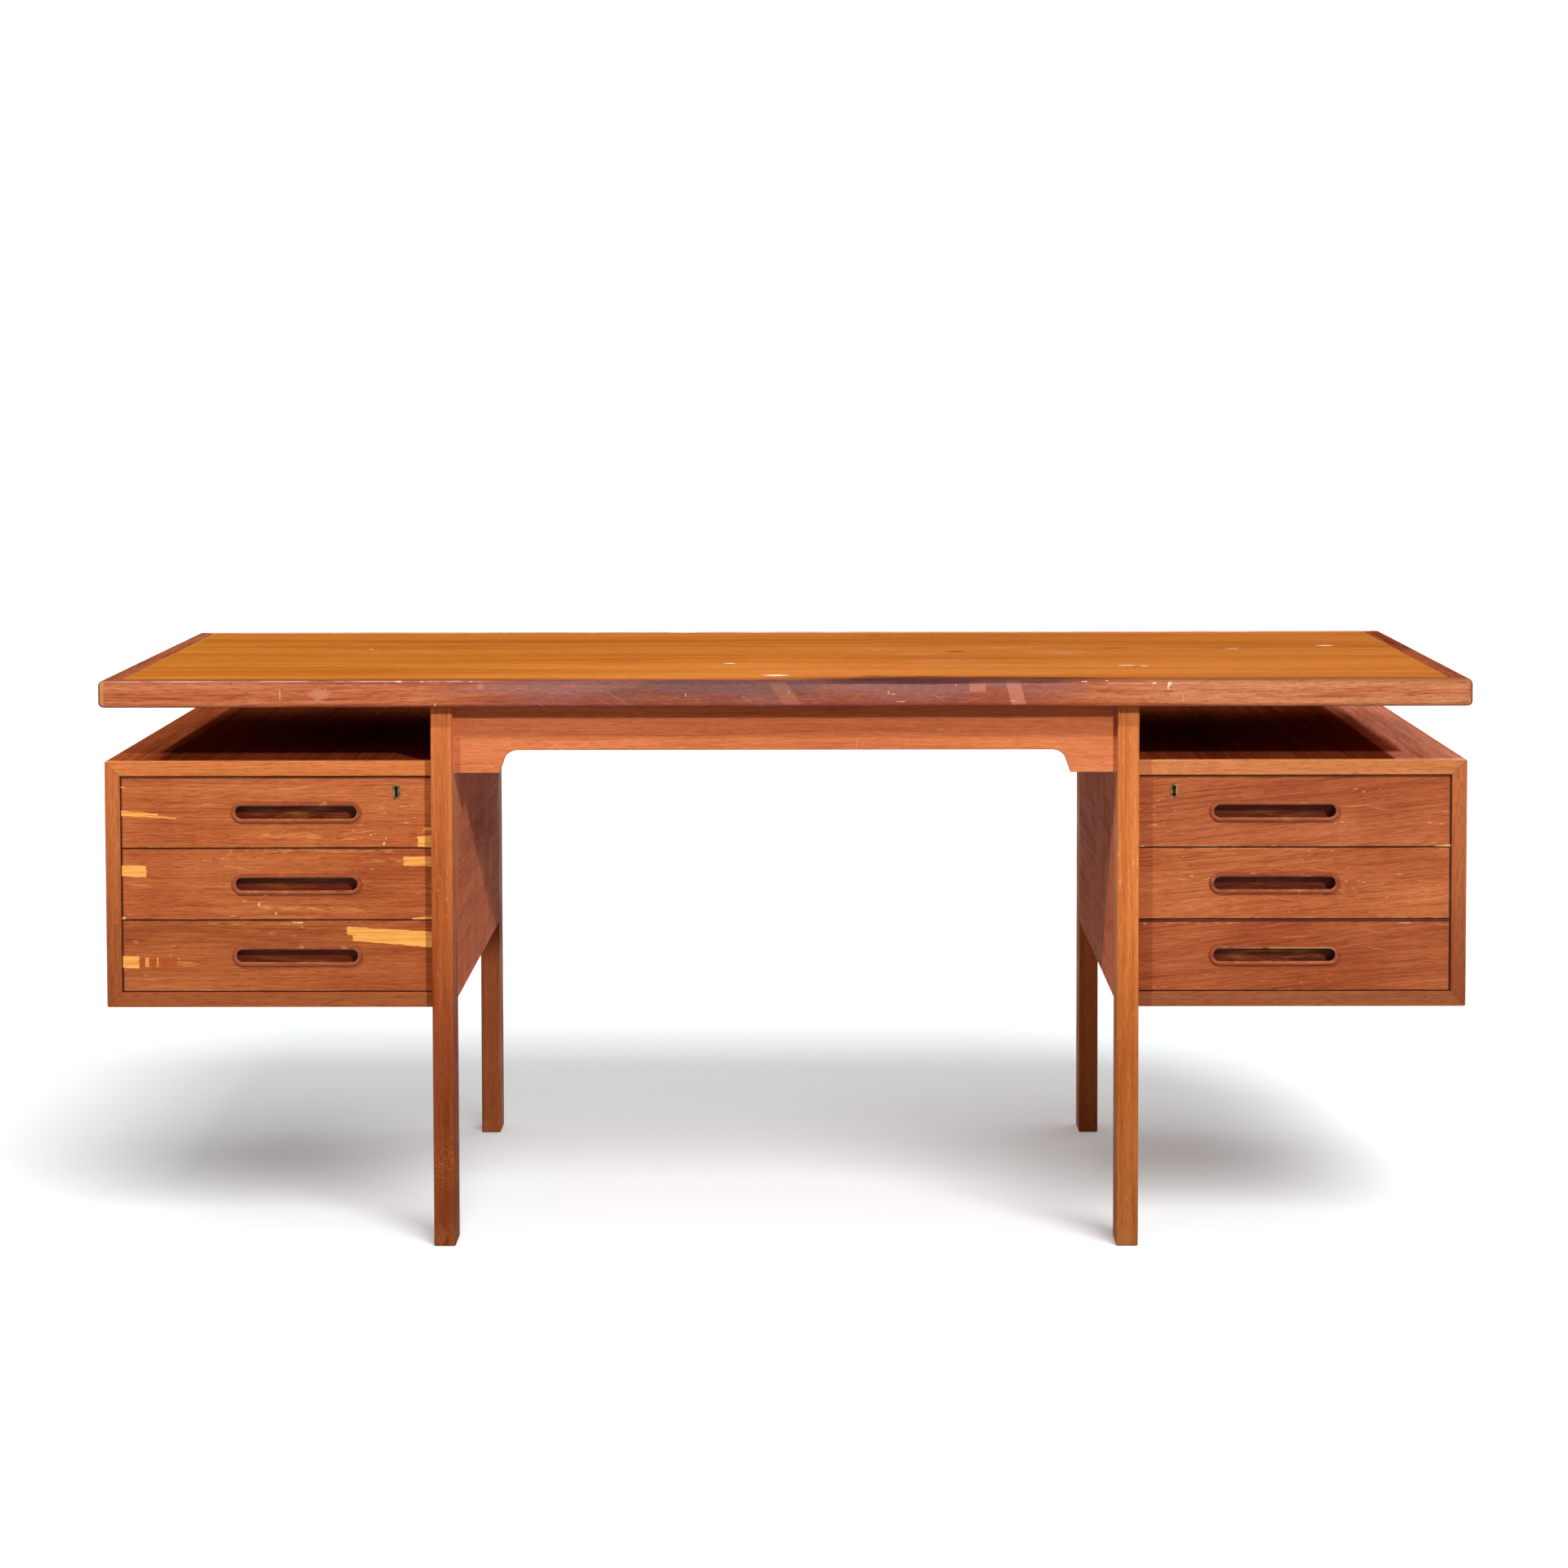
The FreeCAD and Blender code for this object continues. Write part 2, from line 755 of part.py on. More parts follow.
def right_side_nodes():
    """The nodes of the right-hand side, with {} where the side's name goes."""
    boards = case_boards()
    leg = leg_front()
    nodes = {
        "leg_front_{}": leg,
        "leg_back_{}": other_end(leg),
        "side_rail_{}": side_rail(),
        "inner_panel_{}": inner_panel(),
        "case_top_{}": boards["top"],
        "case_side_{}": boards["side"],
        "case_bottom_{}": boards["bottom"],
        "case_edging_{}": case_edging(),
        "case_partition_{}": partition(),
        "drawer_runners_{}": runners(),
        "niche_shelf_{}": shelf(),
        "lock_case_{}": lock_case(),
        "lock_bolt_{}": bolt(),
        "keyhole_thimble_{}": escutcheon(),
    }
    for level, level_name in enumerate(level_names):
        nodes["drawer_front_{}_" + level_name] = drawer_front(level)
        nodes["drawer_pull_{}_" + level_name] = drawer_pull(level)
        nodes["drawer_box_{}_" + level_name] = drawer_box(level)
    return nodes


def both_sides(shapes):
    return Part.makeCompound(shapes + [other_side(shape) for shape in shapes])


def desk_nodes():
    nodes = top_pieces()
    nodes["apron_front"] = apron_front()
    nodes["apron_back"] = other_end(nodes["apron_front"])
    nodes["top_fixing_blocks"] = Part.makeCompound([fixing_block(x, y) for x, y in screw_places()])
    nodes["top_screws"] = Part.makeCompound([screw(x, y) for x, y in screw_places()])
    nodes["frame_dowels"] = both_sides(frame_dowel_set(dowel))
    nodes["case_dowels"] = both_sides(case_dowel_set(dowel))
    nodes["shelf_pins"] = both_sides([shelf_pin(*place) for place in pin_places()])
    for name, shape in right_side_nodes().items():
        nodes[name.format(side_names[0])] = other_side(shape)
        nodes[name.format(side_names[1])] = shape
    return nodes


os.makedirs("parts", exist_ok=True)
for name, shape in desk_nodes().items():
    shape.exportStep("parts/" + name + ".step")
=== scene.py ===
import math

import bpy
from mathutils import Matrix, Vector


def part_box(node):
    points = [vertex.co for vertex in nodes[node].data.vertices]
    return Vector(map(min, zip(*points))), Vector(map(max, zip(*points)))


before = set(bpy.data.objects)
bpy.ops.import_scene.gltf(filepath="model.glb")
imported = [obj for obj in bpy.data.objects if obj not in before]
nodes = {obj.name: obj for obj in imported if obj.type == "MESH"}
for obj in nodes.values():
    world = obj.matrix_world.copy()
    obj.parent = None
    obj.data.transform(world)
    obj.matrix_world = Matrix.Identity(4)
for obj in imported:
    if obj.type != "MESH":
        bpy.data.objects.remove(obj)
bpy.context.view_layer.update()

# Executive desk of oiled teak, worn by use.
# Metres, in the frame of the imported model: +Z is up, -Y is the sitter's side, +X is their right.
# Every piece is a packed one with a wood or metal finish. Lists of marks are in millimetres in that frame,
# read off the photograph.

mm = 0.001
sides = ("left", "right")
levels = ("top", "middle", "bottom")

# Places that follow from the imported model
panel_low, panel_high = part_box("top_panel")
top_height = panel_high[2]
top_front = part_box("top_lipping_front")[0][1]
leg_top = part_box("leg_front_left")[1][2]
case_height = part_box("case_top_left")[1][2]
front_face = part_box("drawer_front_left_top")[0][1]

# Camera, fitted to the photograph: its frame is square, and its verticals are nearly parallel.
# The angles are in degrees, and the lens is in millimetres.
camera_place = (42.1 * mm, -5397.3 * mm, 1200.4 * mm)
camera_yaw = 0.485
camera_pitch = 3.386
camera_roll = -0.136
camera_lens = 87.8
camera_shift = -0.14

# Lamps: the direction towards each, the brightness of a white face square to it, and its width in degrees
desk_lamps = {
    "high_left_lamp": ((-0.9, -1.0, 1.28), 0.50, 3.5),
    "low_right_lamp": ((0.48, -1.0, 0.53), 0.66, 3.5),
    "rear_lamp": ((0.0, 1.0, 0.45), 0.45, 25.0),
}
floor_lamps = {
    "floor_front_lamp": ((0.35, -1.08, 1.0), 0.93, 35.0),
    "floor_high_lamp": ((0.18, 0.01, 1.0), 0.26, 69.0),
}
# The world's strength where it lights the desk, and where it is seen
world_fill = 0.22
background = 1.0
floor_size = 60
floor_glow = 0.2
# What the camera sees is a little cool, because the desk throws its own colour on the floor
floor_seen = (0.95, 0.985, 1.0, 1.0)
floor_bounce = (0.33, 0.33, 0.33, 1.0)


def paint(red, green, blue):
    """A colour as it shows on a screen, from 0 to 255, as the linear colour that the shaders take."""
    def linear(value):
        value /= 255
        return value / 12.92 if value <= 0.04045 else ((value + 0.055) / 1.055) ** 2.4

    return (linear(red), linear(green), linear(blue), 1.0)


class Graph:
    """One material's nodes. Each method adds a step and returns its output."""

    def __init__(self, name):
        self.material = bpy.data.materials.new(name)
        self.material.use_nodes = True
        self.tree = self.material.node_tree
        self.tree.nodes.clear()
        self.place = self.add("ShaderNodeTexCoord").outputs["Object"]
        self.x, self.y, self.z = self.split(self.place)

    def add(self, kind, inputs=None, **settings):
        """A new node, with its settings and with what goes into its inputs."""
        node = self.tree.nodes.new(kind)
        for key, value in settings.items():
            setattr(node, key, value)
        for key, value in (inputs or {}).items():
            self.put(node.inputs[key], value)
        return node

    def put(self, socket, value):
        """Links another node's output to a socket, or sets a plain value there."""
        if isinstance(value, bpy.types.NodeSocket):
            self.tree.links.new(value, socket)
        else:
            socket.default_value = value

    def split(self, vector):
        node = self.add("ShaderNodeSeparateXYZ", {"Vector": vector})
        return node.outputs[0], node.outputs[1], node.outputs[2]

    def join(self, x, y, z):
        return self.add("ShaderNodeCombineXYZ", {"X": x, "Y": y, "Z": z}).outputs[0]

    def math(self, operation, *values):
        node = self.add("ShaderNodeMath", operation=operation)
        for socket, value in zip(node.inputs, values):
            self.put(socket, value)
        return node.outputs[0]

    def chain(self, operation, values):
        """One value from several, taken in one after the other."""
        total = values[0]
        for value in values[1:]:
            total = self.math(operation, total, value)
        return total

    def plus(self, *values):
        return self.chain("ADD", values)

    def times(self, *values):
        return self.chain("MULTIPLY", values)

    def least(self, *values):
        return self.chain("MINIMUM", values)

    def most(self, *values):
        return self.chain("MAXIMUM", values)

    def minus(self, a, b):
        return self.math("SUBTRACT", a, b)

    def between(self, share, first, second):
        """A value from first to second by share."""
        return self.plus(first, self.times(share, self.minus(second, first)))

    def stretch(self, vector, scale):
        node = self.add("ShaderNodeVectorMath", operation="MULTIPLY")
        self.put(node.inputs[0], vector)
        node.inputs[1].default_value = scale
        return node.outputs[0]

    def noise(self, vector, scale, detail=2.0, rough=0.5):
        """Noise round 0.5, with so many grains a metre along each axis."""
        inputs = {"Vector": self.stretch(vector, scale), "Scale": 1.0, "Detail": detail, "Roughness": rough}
        return self.add("ShaderNodeTexNoise", inputs).outputs["Fac"]

    def wobble(self, vector, scale, size, detail=2.0):
        """Noise round 0 that reaches about the size either way."""
        return self.times(self.minus(self.noise(vector, scale, detail), 0.5), 3.0 * size)

    def step(self, value, low, high, start=0.0, end=1.0):
        """Goes softly from start to end as the value goes from low to high."""
        inputs = {"Value": value, "From Min": low, "From Max": high, "To Min": start, "To Max": end}
        return self.add("ShaderNodeMapRange", inputs, interpolation_type="SMOOTHSTEP").outputs[0]

    def fall(self, value, low, high):
        """Falls softly from 1 to 0 as the value goes from low to high."""
        return self.step(value, low, high, 1.0, 0.0)

    def band(self, value, low, high, blur):
        """1 where the value lies between low and high, with soft limits."""
        rise = self.step(value, low - blur, low + blur)
        return self.times(rise, self.fall(value, high - blur, high + blur))

    def blend(self, share, first, second, how="MIX"):
        """A colour from first to second by share."""
        node = self.add("ShaderNodeMix", data_type="RGBA", blend_type=how)
        self.put(node.inputs[0], share)
        self.put(node.inputs[6], first)
        self.put(node.inputs[7], second)
        return node.outputs[2]

    def tinted(self, colour, tint):
        """A colour multiplied by another."""
        return self.blend(1.0, colour, tint, "MULTIPLY")

    def shaded(self, colour, level):
        """A colour multiplied by a grey level."""
        return self.tinted(colour, self.join(level, level, level))

    def ramp(self, share, stops):
        """Colours by share, from a list of (share, colour)."""
        node = self.add("ShaderNodeValToRGB", {"Fac": share})
        elements = node.color_ramp.elements
        while len(elements) < len(stops):
            elements.new(0.5)
        for element, (place, colour) in zip(elements, stops):
            element.position = place
            element.color = colour
        return node.outputs["Color"]

    def tint_ramp(self, colour, share, stops):
        """A colour multiplied by a tint that goes by share, from a list of (share, red, green, blue)."""
        shades = [(place, (red, green, blue, 1.0)) for place, red, green, blue in stops]
        return self.tinted(colour, self.ramp(share, shades))

    def finish(self, colour, height, roughness, shine, metal=0.0):
        """The surface: its colour, its height in metres, and how rough and how shiny it is."""
        bump = self.add("ShaderNodeBump", {"Height": height, "Distance": 1.0, "Strength": 1.0})
        surface = self.add("ShaderNodeBsdfPrincipled", {
            "Base Color": colour, "Roughness": roughness, "Metallic": metal,
            "Specular IOR Level": shine, "Normal": bump.outputs["Normal"],
        })
        output = self.add("ShaderNodeOutputMaterial")
        self.tree.links.new(surface.outputs["BSDF"], output.inputs["Surface"])
        return self.material


# Wood

# The parts of the grain, as how many a metre along the board and across it
broad_tones = (0.9, 9, 9)
growth_bands = (2.2, 85, 85)
fine_lines = (11, 420, 420)
fine_fibres = (70, 1300, 1300)
open_pores = (62, 820, 820)
fibre_height = 0.035 * mm
# How dark pores are beside the wood's dark shade
pore_share = 0.86
# How far each unit of a seed moves a piece within the grain
seed_shift = (1.7, 0.37, 0.61)


class Teak:
    """Three shades of one wood, the slope and bend of its grain, and how strongly its parts show."""

    def __init__(self, light, middle, dark, slope=0.0, bend=0.02, wide=0.34, narrow=0.36, fine=0.30,
                 porous=0.42):
        self.light = paint(*light)
        self.middle = paint(*middle)
        self.dark = paint(*dark)
        self.pore = paint(*(pore_share * value for value in dark))
        self.slope = slope
        self.bend = bend
        self.wide = wide
        self.narrow = narrow
        self.fine = fine
        self.porous = porous


def along(g, axis):
    """A point's coordinates with the grain's axis first."""
    return {"X": (g.x, g.y, g.z), "Y": (g.y, g.x, g.z), "Z": (g.z, g.x, g.y)}[axis]


def wood(g, teak, axes, seed):
    """The colour and height of bare wood: broad tones, growth bands, fine lines, fibres and pores."""
    first, second, third = axes
    third = g.plus(third, g.times(first, teak.slope))
    place = g.join(*(g.plus(value, shift * seed) for value, shift in zip((first, second, third), seed_shift)))
    sway = g.wobble(place, (1.1, 4, 4), teak.bend * 0.6, detail=1.0)
    drift = g.plus(sway, g.wobble(place, (9, 30, 30), teak.bend * 0.06))
    first, second, third = g.split(place)
    bent = g.join(first, g.plus(second, drift), g.plus(third, drift))
    tone = g.noise(bent, broad_tones, detail=2.0)
    bands = g.noise(bent, growth_bands, detail=3.0, rough=0.65)
    lines = g.noise(bent, fine_lines, detail=3.0, rough=0.65)
    fibres = g.noise(bent, fine_fibres, detail=1.0)
    dashes = g.noise(bent, open_pores, detail=2.0)
    mixed = g.plus(g.times(bands, teak.narrow), g.times(lines, teak.fine), g.times(tone, teak.wide))
    centre = 0.5 * (teak.wide + teak.narrow + teak.fine)
    shade = g.minus(mixed, centre - 0.5)
    colour = g.ramp(shade, [(0.38, teak.dark), (0.5, teak.middle), (0.62, teak.light)])
    colour = g.shaded(colour, g.step(fibres, 0.25, 0.75, 0.88, 1.12))
    pores = g.step(dashes, 0.54, 0.64)
    colour = g.blend(g.times(pores, teak.porous), colour, teak.pore)
    height = g.times(g.plus(g.times(pores, -0.6), fibres), fibre_height)
    return colour, height


def edge_distance(g, box):
    """How far a point on a box lies from the nearest of its edges: the middle one of its three depths."""
    low, high = box
    depths = []
    for value, a, b in zip((g.x, g.y, g.z), low, high):
        off_centre = g.math("ABSOLUTE", g.minus(value, (a + b) / 2))
        depths.append(g.minus((b - a) / 2, off_centre))
    p, q, r = depths
    return g.least(g.most(p, q), g.most(q, r), g.most(p, r))


def edge_wear(g, box, reach, seed):
    """1 on the worn arrises, fading and breaking up within the reach."""
    ragged = g.noise(g.place, (70, 70, 70), detail=4.0, rough=0.7)
    patchy = g.noise(g.join(g.plus(g.x, seed), g.y, g.z), (9, 9, 9), detail=3.0)
    worn = g.plus(g.times(g.minus(ragged, 0.5), 3.0 * reach), edge_distance(g, box))
    return g.times(g.fall(worn, 0.0, reach), g.step(patchy, 0.40, 0.62))


def nicks(g, axes, seed):
    """Small pale nicks along the grain, gathered in places."""
    first, second, third = axes
    place = g.join(g.plus(first, seed), g.plus(second, 2 * seed), third)
    small = g.noise(place, (90, 300, 300), detail=2.0)
    where = g.noise(place, (9, 13, 13), detail=2.0)
    return g.times(g.step(small, 0.67, 0.72), g.step(where, 0.50, 0.62))


def scratch_run(g, u, v, angle, seed, amount):
    """Fine straight scratches at an angle across the face (u, v), here and there."""
    c, s = math.cos(math.radians(angle)), math.sin(math.radians(angle))
    length = g.plus(g.times(u, c), g.times(v, s))
    across = g.minus(g.times(v, c), g.times(u, s))
    bowed = g.plus(across, g.times(g.math("SINE", g.times(length, 9.0)), 6 * mm))
    hair = g.noise(g.join(g.plus(length, seed), bowed, seed), (14, 420, 1), detail=1.0)
    where = g.noise(g.join(g.plus(u, seed), v, 0.0), (5, 9, 1), detail=1.0)
    return g.times(g.step(hair, 0.70, 0.77), g.step(where, 0.62 - 0.2 * amount, 0.75 - 0.2 * amount))


def scratches(g, u, v, runs):
    """1 on the scratches of a face (u, v), from a list of (angle in degrees, seed, amount)."""
    return g.most(*(scratch_run(g, u, v, *run) for run in runs))


def spots(g, u, v, places, coarse=1.0):
    """1 inside ragged spots on the face (u, v), from a list of (u, v, half width, half height).

    A larger coarse gives their outlines fewer and larger teeth.
    """
    ragged = g.wobble(g.join(u, v, 0.0), (260 / coarse, 420 / coarse, 1), 0.85, detail=4.0)
    found = 0.0
    for place_u, place_v, wide, high in places:
        du = g.times(g.minus(u, place_u * mm), 1 / (wide * mm))
        dv = g.times(g.minus(v, place_v * mm), 1 / (high * mm))
        distance = g.math("SQRT", g.plus(g.times(du, du), g.times(dv, dv)))
        found = g.most(found, g.fall(g.plus(distance, ragged), 0.7, 1.0))
    return found


def tears(g, u, v, places, torn=3.0, blur=0.3):
    """1 where veneer is torn off along u, from a list of (start, end, width at start, width at end).

    Each start and end is a point (u, v). The ends are ragged by torn and the limits are soft by blur,
    both in millimetres.
    """
    ends_torn = g.wobble(g.join(u, v, 1.0), (14, 420, 1), torn * mm, detail=3.0)
    frayed = g.wobble(g.join(u, v, 2.0), (60, 130, 1), 1.0 * mm)
    found = 0.0
    for start, end, wide_start, wide_end in places:
        share = g.times(g.minus(u, start[0] * mm), 1 / ((end[0] - start[0]) * mm))
        middle = g.between(share, start[1] * mm, end[1] * mm)
        half = g.between(share, wide_start / 2 * mm, wide_end / 2 * mm)
        room = g.minus(half, g.math("ABSOLUTE", g.minus(g.plus(v, frayed), middle)))
        inside = g.step(room, -blur * mm, blur * mm)
        past = g.plus(u, ends_torn)
        found = g.most(found, g.times(inside, g.band(past, start[0] * mm, end[0] * mm, blur * mm)))
    return found


# Palettes

golden = Teak((220, 142, 60), (203, 121, 44), (174, 94, 28), bend=0.006, wide=0.28, narrow=0.38, fine=0.34)
lipping = Teak((226, 144, 96), (203, 115, 72), (140, 56, 36), bend=0.02, wide=0.30, narrow=0.36, fine=0.36)
apron = Teak((234, 140, 92), (220, 124, 74), (184, 90, 52),
             bend=0.01, wide=0.20, narrow=0.18, fine=0.28, porous=0.28)
edging = Teak((226, 138, 76), (209, 122, 63), (168, 84, 42), bend=0.01, wide=0.22, narrow=0.22, fine=0.28)
drawer = Teak((212, 124, 72), (191, 105, 58), (146, 68, 34), bend=0.012, wide=0.18, narrow=0.20, fine=0.34)
drawer_right = Teak((212, 124, 74), (190, 104, 59), (144, 66, 36), slope=-0.10,
                    bend=0.016, wide=0.18, narrow=0.20, fine=0.34)
leg_wood = Teak((228, 136, 78), (212, 120, 65), (170, 82, 40),
                bend=0.014, wide=0.16, narrow=0.38, fine=0.26, porous=0.2)
veneer = Teak((192, 106, 62), (172, 86, 44), (132, 58, 28), bend=0.012)
panel = Teak((220, 124, 80), (206, 110, 69), (164, 78, 48),
             bend=0.012, wide=0.26, narrow=0.26, fine=0.40, porous=0.3)
beech = Teak((226, 190, 140), (210, 170, 118), (182, 138, 88), fine=0.2)

# Wear, dirt and painted gap shade that several pieces share
bare_light = paint(247, 180, 92)
bare_dark = paint(222, 136, 56)
worn_pale = paint(236, 160, 102)
# Dark dirt in stripes and joints, and the painted shadow in the gaps round the drawers
grime_and_gap_shade = paint(62, 30, 24)
arris_dirt = (0.74, 0.72, 0.76, 1.0)
wear_reach = 2.2 * mm
nick_depth = 0.15 * mm

# Marks on the top's veneer, and a painted highlight along its left edge
streak_red = paint(182, 90, 38)
scuff_pink = paint(226, 160, 122)
spot_dark = paint(96, 42, 20)
soaked_brown = paint(96, 48, 32)
drink_on_veneer = paint(84, 46, 34)
chip_white = paint(255, 236, 206)
# Painted highlight along the joint with the left lipping
rim_highlight = paint(240, 190, 130)

# Marks and painted highlights on the lippings
rubbed_greys = [
    (0.2, paint(136, 66, 50)), (0.4, paint(148, 80, 68)),
    (0.6, paint(156, 104, 98)), (0.8, paint(140, 102, 100)),
]
soiled_tint = (0.66, 0.72, 0.76, 1.0)
tape_pale = paint(216, 140, 112)
spot_pale = paint(222, 150, 116)
tick_pale = paint(232, 178, 146)
scratch_pale = paint(224, 168, 136)
# Pale upper arris of the front lipping, partly wear and partly painted highlight
arris_worn_highlight = paint(226, 184, 170)
drink_on_lipping = paint(82, 48, 48)
# Left end of the front lipping, partly wear and partly painted highlight
corner_wear_highlight = paint(246, 190, 122)
chip_cream = paint(245, 218, 180)
end_lipping_tint = (0.66, 0.60, 0.62, 1.0)
# Outer arris of an end lipping, partly wear and partly painted highlight
end_arris_highlight = paint(248, 200, 164)

# Marks, painted shade and painted highlights on the frame and the pedestals
foot_scuff = paint(206, 132, 68)
foot_fleck = paint(214, 140, 62)
apron_scratch = paint(250, 190, 120)
rail_bright = (1.15, 1.2, 1.12, 1.0)
right_stile_tint = (0.88, 0.86, 1.0, 1.0)
right_rail_tint = (0.95, 1.05, 1.3, 1.0)
reddish_tint = (0.86, 0.76, 0.74, 1.0)
drawer_chip = paint(238, 190, 144)
drawer_scratch = paint(240, 168, 104)
inlay_red = paint(176, 74, 34)
pull_tint = (0.6, 0.49, 0.52, 1.0)
# Hollow of a pull, darker partly by dirt and partly by painted shade
hollow_dirt_and_shade = (0.48, 0.27, 0.2, 1.0)
hollow_rubbed = paint(172, 104, 44)
# Painted highlight round the inner rim of a pull's lip
lip_highlight = paint(228, 164, 128)
lip_chafed = paint(214, 160, 84)
beech_stain = paint(150, 104, 62)


def bare_veneer(g, u, v):
    """Yellow ground wood, as it shows where veneer is gone."""
    streak = g.noise(g.join(u, v, 3.0), (9, 420, 1), detail=3.0, rough=0.7)
    return g.blend(g.step(streak, 0.38, 0.68), bare_light, bare_dark)


def worn_wood(g, name, teak, axes, seed, arris=0.55, nicked=0.4):
    """Wood with pale arrises and a few nicks, as colour and height."""
    colour, height = wood(g, teak, axes, seed)
    wear = edge_wear(g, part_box(name), wear_reach, seed)
    colour = g.blend(g.times(wear, arris), colour, worn_pale)
    nick = nicks(g, axes, seed)
    colour = g.blend(g.times(nick, nicked), colour, worn_pale)
    return colour, g.minus(height, g.times(nick, nick_depth))


def oiled(g, colour, height, rough=0.55, shine=0.04):
    """The last layer: uneven gloss."""
    patchy = g.noise(g.place, (14, 14, 14), detail=3.0)
    return g.finish(colour, height, g.step(patchy, 0.3, 0.7, rough - 0.07, rough + 0.09), shine)


def plain_wood(name, teak, axis, seed):
    """A board without marks of its own beyond wear."""
    g = Graph(name)
    colour, height = worn_wood(g, name, teak, along(g, axis), seed)
    return oiled(g, colour, height)


def upper_face(g, height):
    """1 on a board's upper face, which lies at the height."""
    return g.step(g.z, height - 1.0 * mm, height - 0.4 * mm)


def from_outside(g, side, low, high):
    """How far in from the desk's end a point of a box on that side lies."""
    return g.minus(g.x, low[0]) if side == "left" else g.minus(high[0], g.x)


# Top

# Marks on the veneer, as (x, y, half width, half depth): bright chips, pinkish scuffs and dark spots
top_chips = [
    (-77, -154, 9, 7), (-12, -342, 18, 13), (466, -199, 13, 6), (487, -207, 8, 4), (779, 133, 13, 7),
    (-600, 96, 3, 3), (640, 84, 10, 4), (130, 336, 1, 1),
]
top_scuffs = [
    (-62, -156, 28, 9), (304, 106, 60, 18), (382, 33, 46, 30), (385, -9, 26, 20), (128, 81, 34, 22),
    (184, -5, 30, 22), (640, 84, 24, 12), (-522, 51, 34, 14), (-575, 20, 24, 8), (215, -120, 60, 26),
]
top_dark = [(130, 336, 9, 9), (474, -215, 16, 5), (640, 92, 40, 6), (470, 96, 22, 7), (240, 40, 14, 12)]
# A line soaked by drink, in the form that tears takes
top_soaked = [((110, -366), (470, -392), 40, 12)]
# Tints of the veneer from front to back, and from the left end to the right one
top_depth_tints = [(0.0, 1.13, 1.13, 1.2), (0.35, 0.99, 0.98, 0.92), (1.0, 0.93, 0.9, 0.86)]
top_length_tints = [(0.1, 0.99, 0.98, 1.0), (0.48, 1.08, 1.07, 1.4), (0.75, 0.99, 0.96, 1.3)]


def edge_stain(g):
    """1 where drink has run along the sitter's arris, strongest right of the middle."""
    ragged = g.plus(g.x, g.wobble(g.join(g.x, g.y, 8.0), (14, 50, 1), 50 * mm, detail=3.0))
    wide = g.band(ragged, 20 * mm, 385 * mm, 45 * mm)
    core = g.band(ragged, 95 * mm, 245 * mm, 40 * mm)
    streaks = g.noise(g.join(g.x, g.y, 3.0), (18, 120, 1), detail=3.0)
    return g.times(g.plus(g.times(wide, 0.68), g.times(core, 0.3)), g.step(streaks, 0.3, 0.55, 0.7, 1.0))


def top_veneer():
    """Golden veneer with broad and fine streaks along the desk, brighter towards the sitter."""
    g = Graph("top_panel")
    colour, height = wood(g, golden, along(g, "X"), 3.0)
    red_streaks = g.noise(g.join(g.x, g.y, 5.0), (1.6, 26, 1), detail=3.0, rough=0.6)
    colour = g.blend(g.times(g.step(red_streaks, 0.54, 0.74), 0.4), colour, streak_red)
    colour = g.tint_ramp(colour, g.step(g.y, panel_low[1], panel_high[1]), top_depth_tints)
    colour = g.tint_ramp(colour, g.step(g.x, -900 * mm, 900 * mm), top_length_tints)
    upper = upper_face(g, top_height)
    threads = g.noise(g.join(g.x, g.y, 7.0), (34, 120, 1), detail=3.0, rough=0.7)
    scuff = g.times(spots(g, g.x, g.y, top_scuffs, coarse=2.0), g.step(threads, 0.38, 0.64, 0.02, 0.36))
    colour = g.blend(g.times(scuff, upper), colour, scuff_pink)
    hair = scratches(g, g.x, g.y, [(12, 2.0, 0.5), (156, 5.0, 0.3)])
    colour = g.blend(g.times(hair, upper, 0.35), colour, scuff_pink)
    dark = g.times(spots(g, g.x, g.y, top_dark, coarse=1.5), 0.7)
    colour = g.blend(g.times(dark, upper), colour, spot_dark)
    soaked = g.times(tears(g, g.x, g.y, top_soaked, torn=30, blur=4), upper)
    uneven = g.step(g.noise(g.join(g.x, g.y, 8.0), (12, 60, 1), detail=3.0), 0.3, 0.6, 0.1, 0.7)
    colour = g.blend(g.times(soaked, uneven), colour, soaked_brown)
    dirty = g.times(g.fall(g.y, panel_low[1] + 2 * mm, panel_low[1] + 14 * mm), upper)
    colour = g.blend(dirty, colour, g.tinted(colour, arris_dirt))
    front = g.fall(g.y, panel_low[1] + 4 * mm, panel_low[1] + 34 * mm)
    colour = g.blend(g.times(edge_stain(g), 0.8, front, upper), colour, drink_on_veneer)
    chip = g.times(spots(g, g.x, g.y, top_chips), upper)
    colour = g.blend(chip, colour, chip_white)
    # Painted highlight along the joint with the left lipping, fading towards the front
    rim = g.fall(g.x, panel_low[0], panel_low[0] + 1.6 * mm)
    colour = g.blend(g.times(rim, g.step(g.y, -250 * mm, 380 * mm, 0.15, 0.95)), colour, rim_highlight)
    height = g.minus(height, g.times(g.plus(chip, dark), 0.2 * mm))
    return oiled(g, colour, height, rough=0.62, shine=0.0)


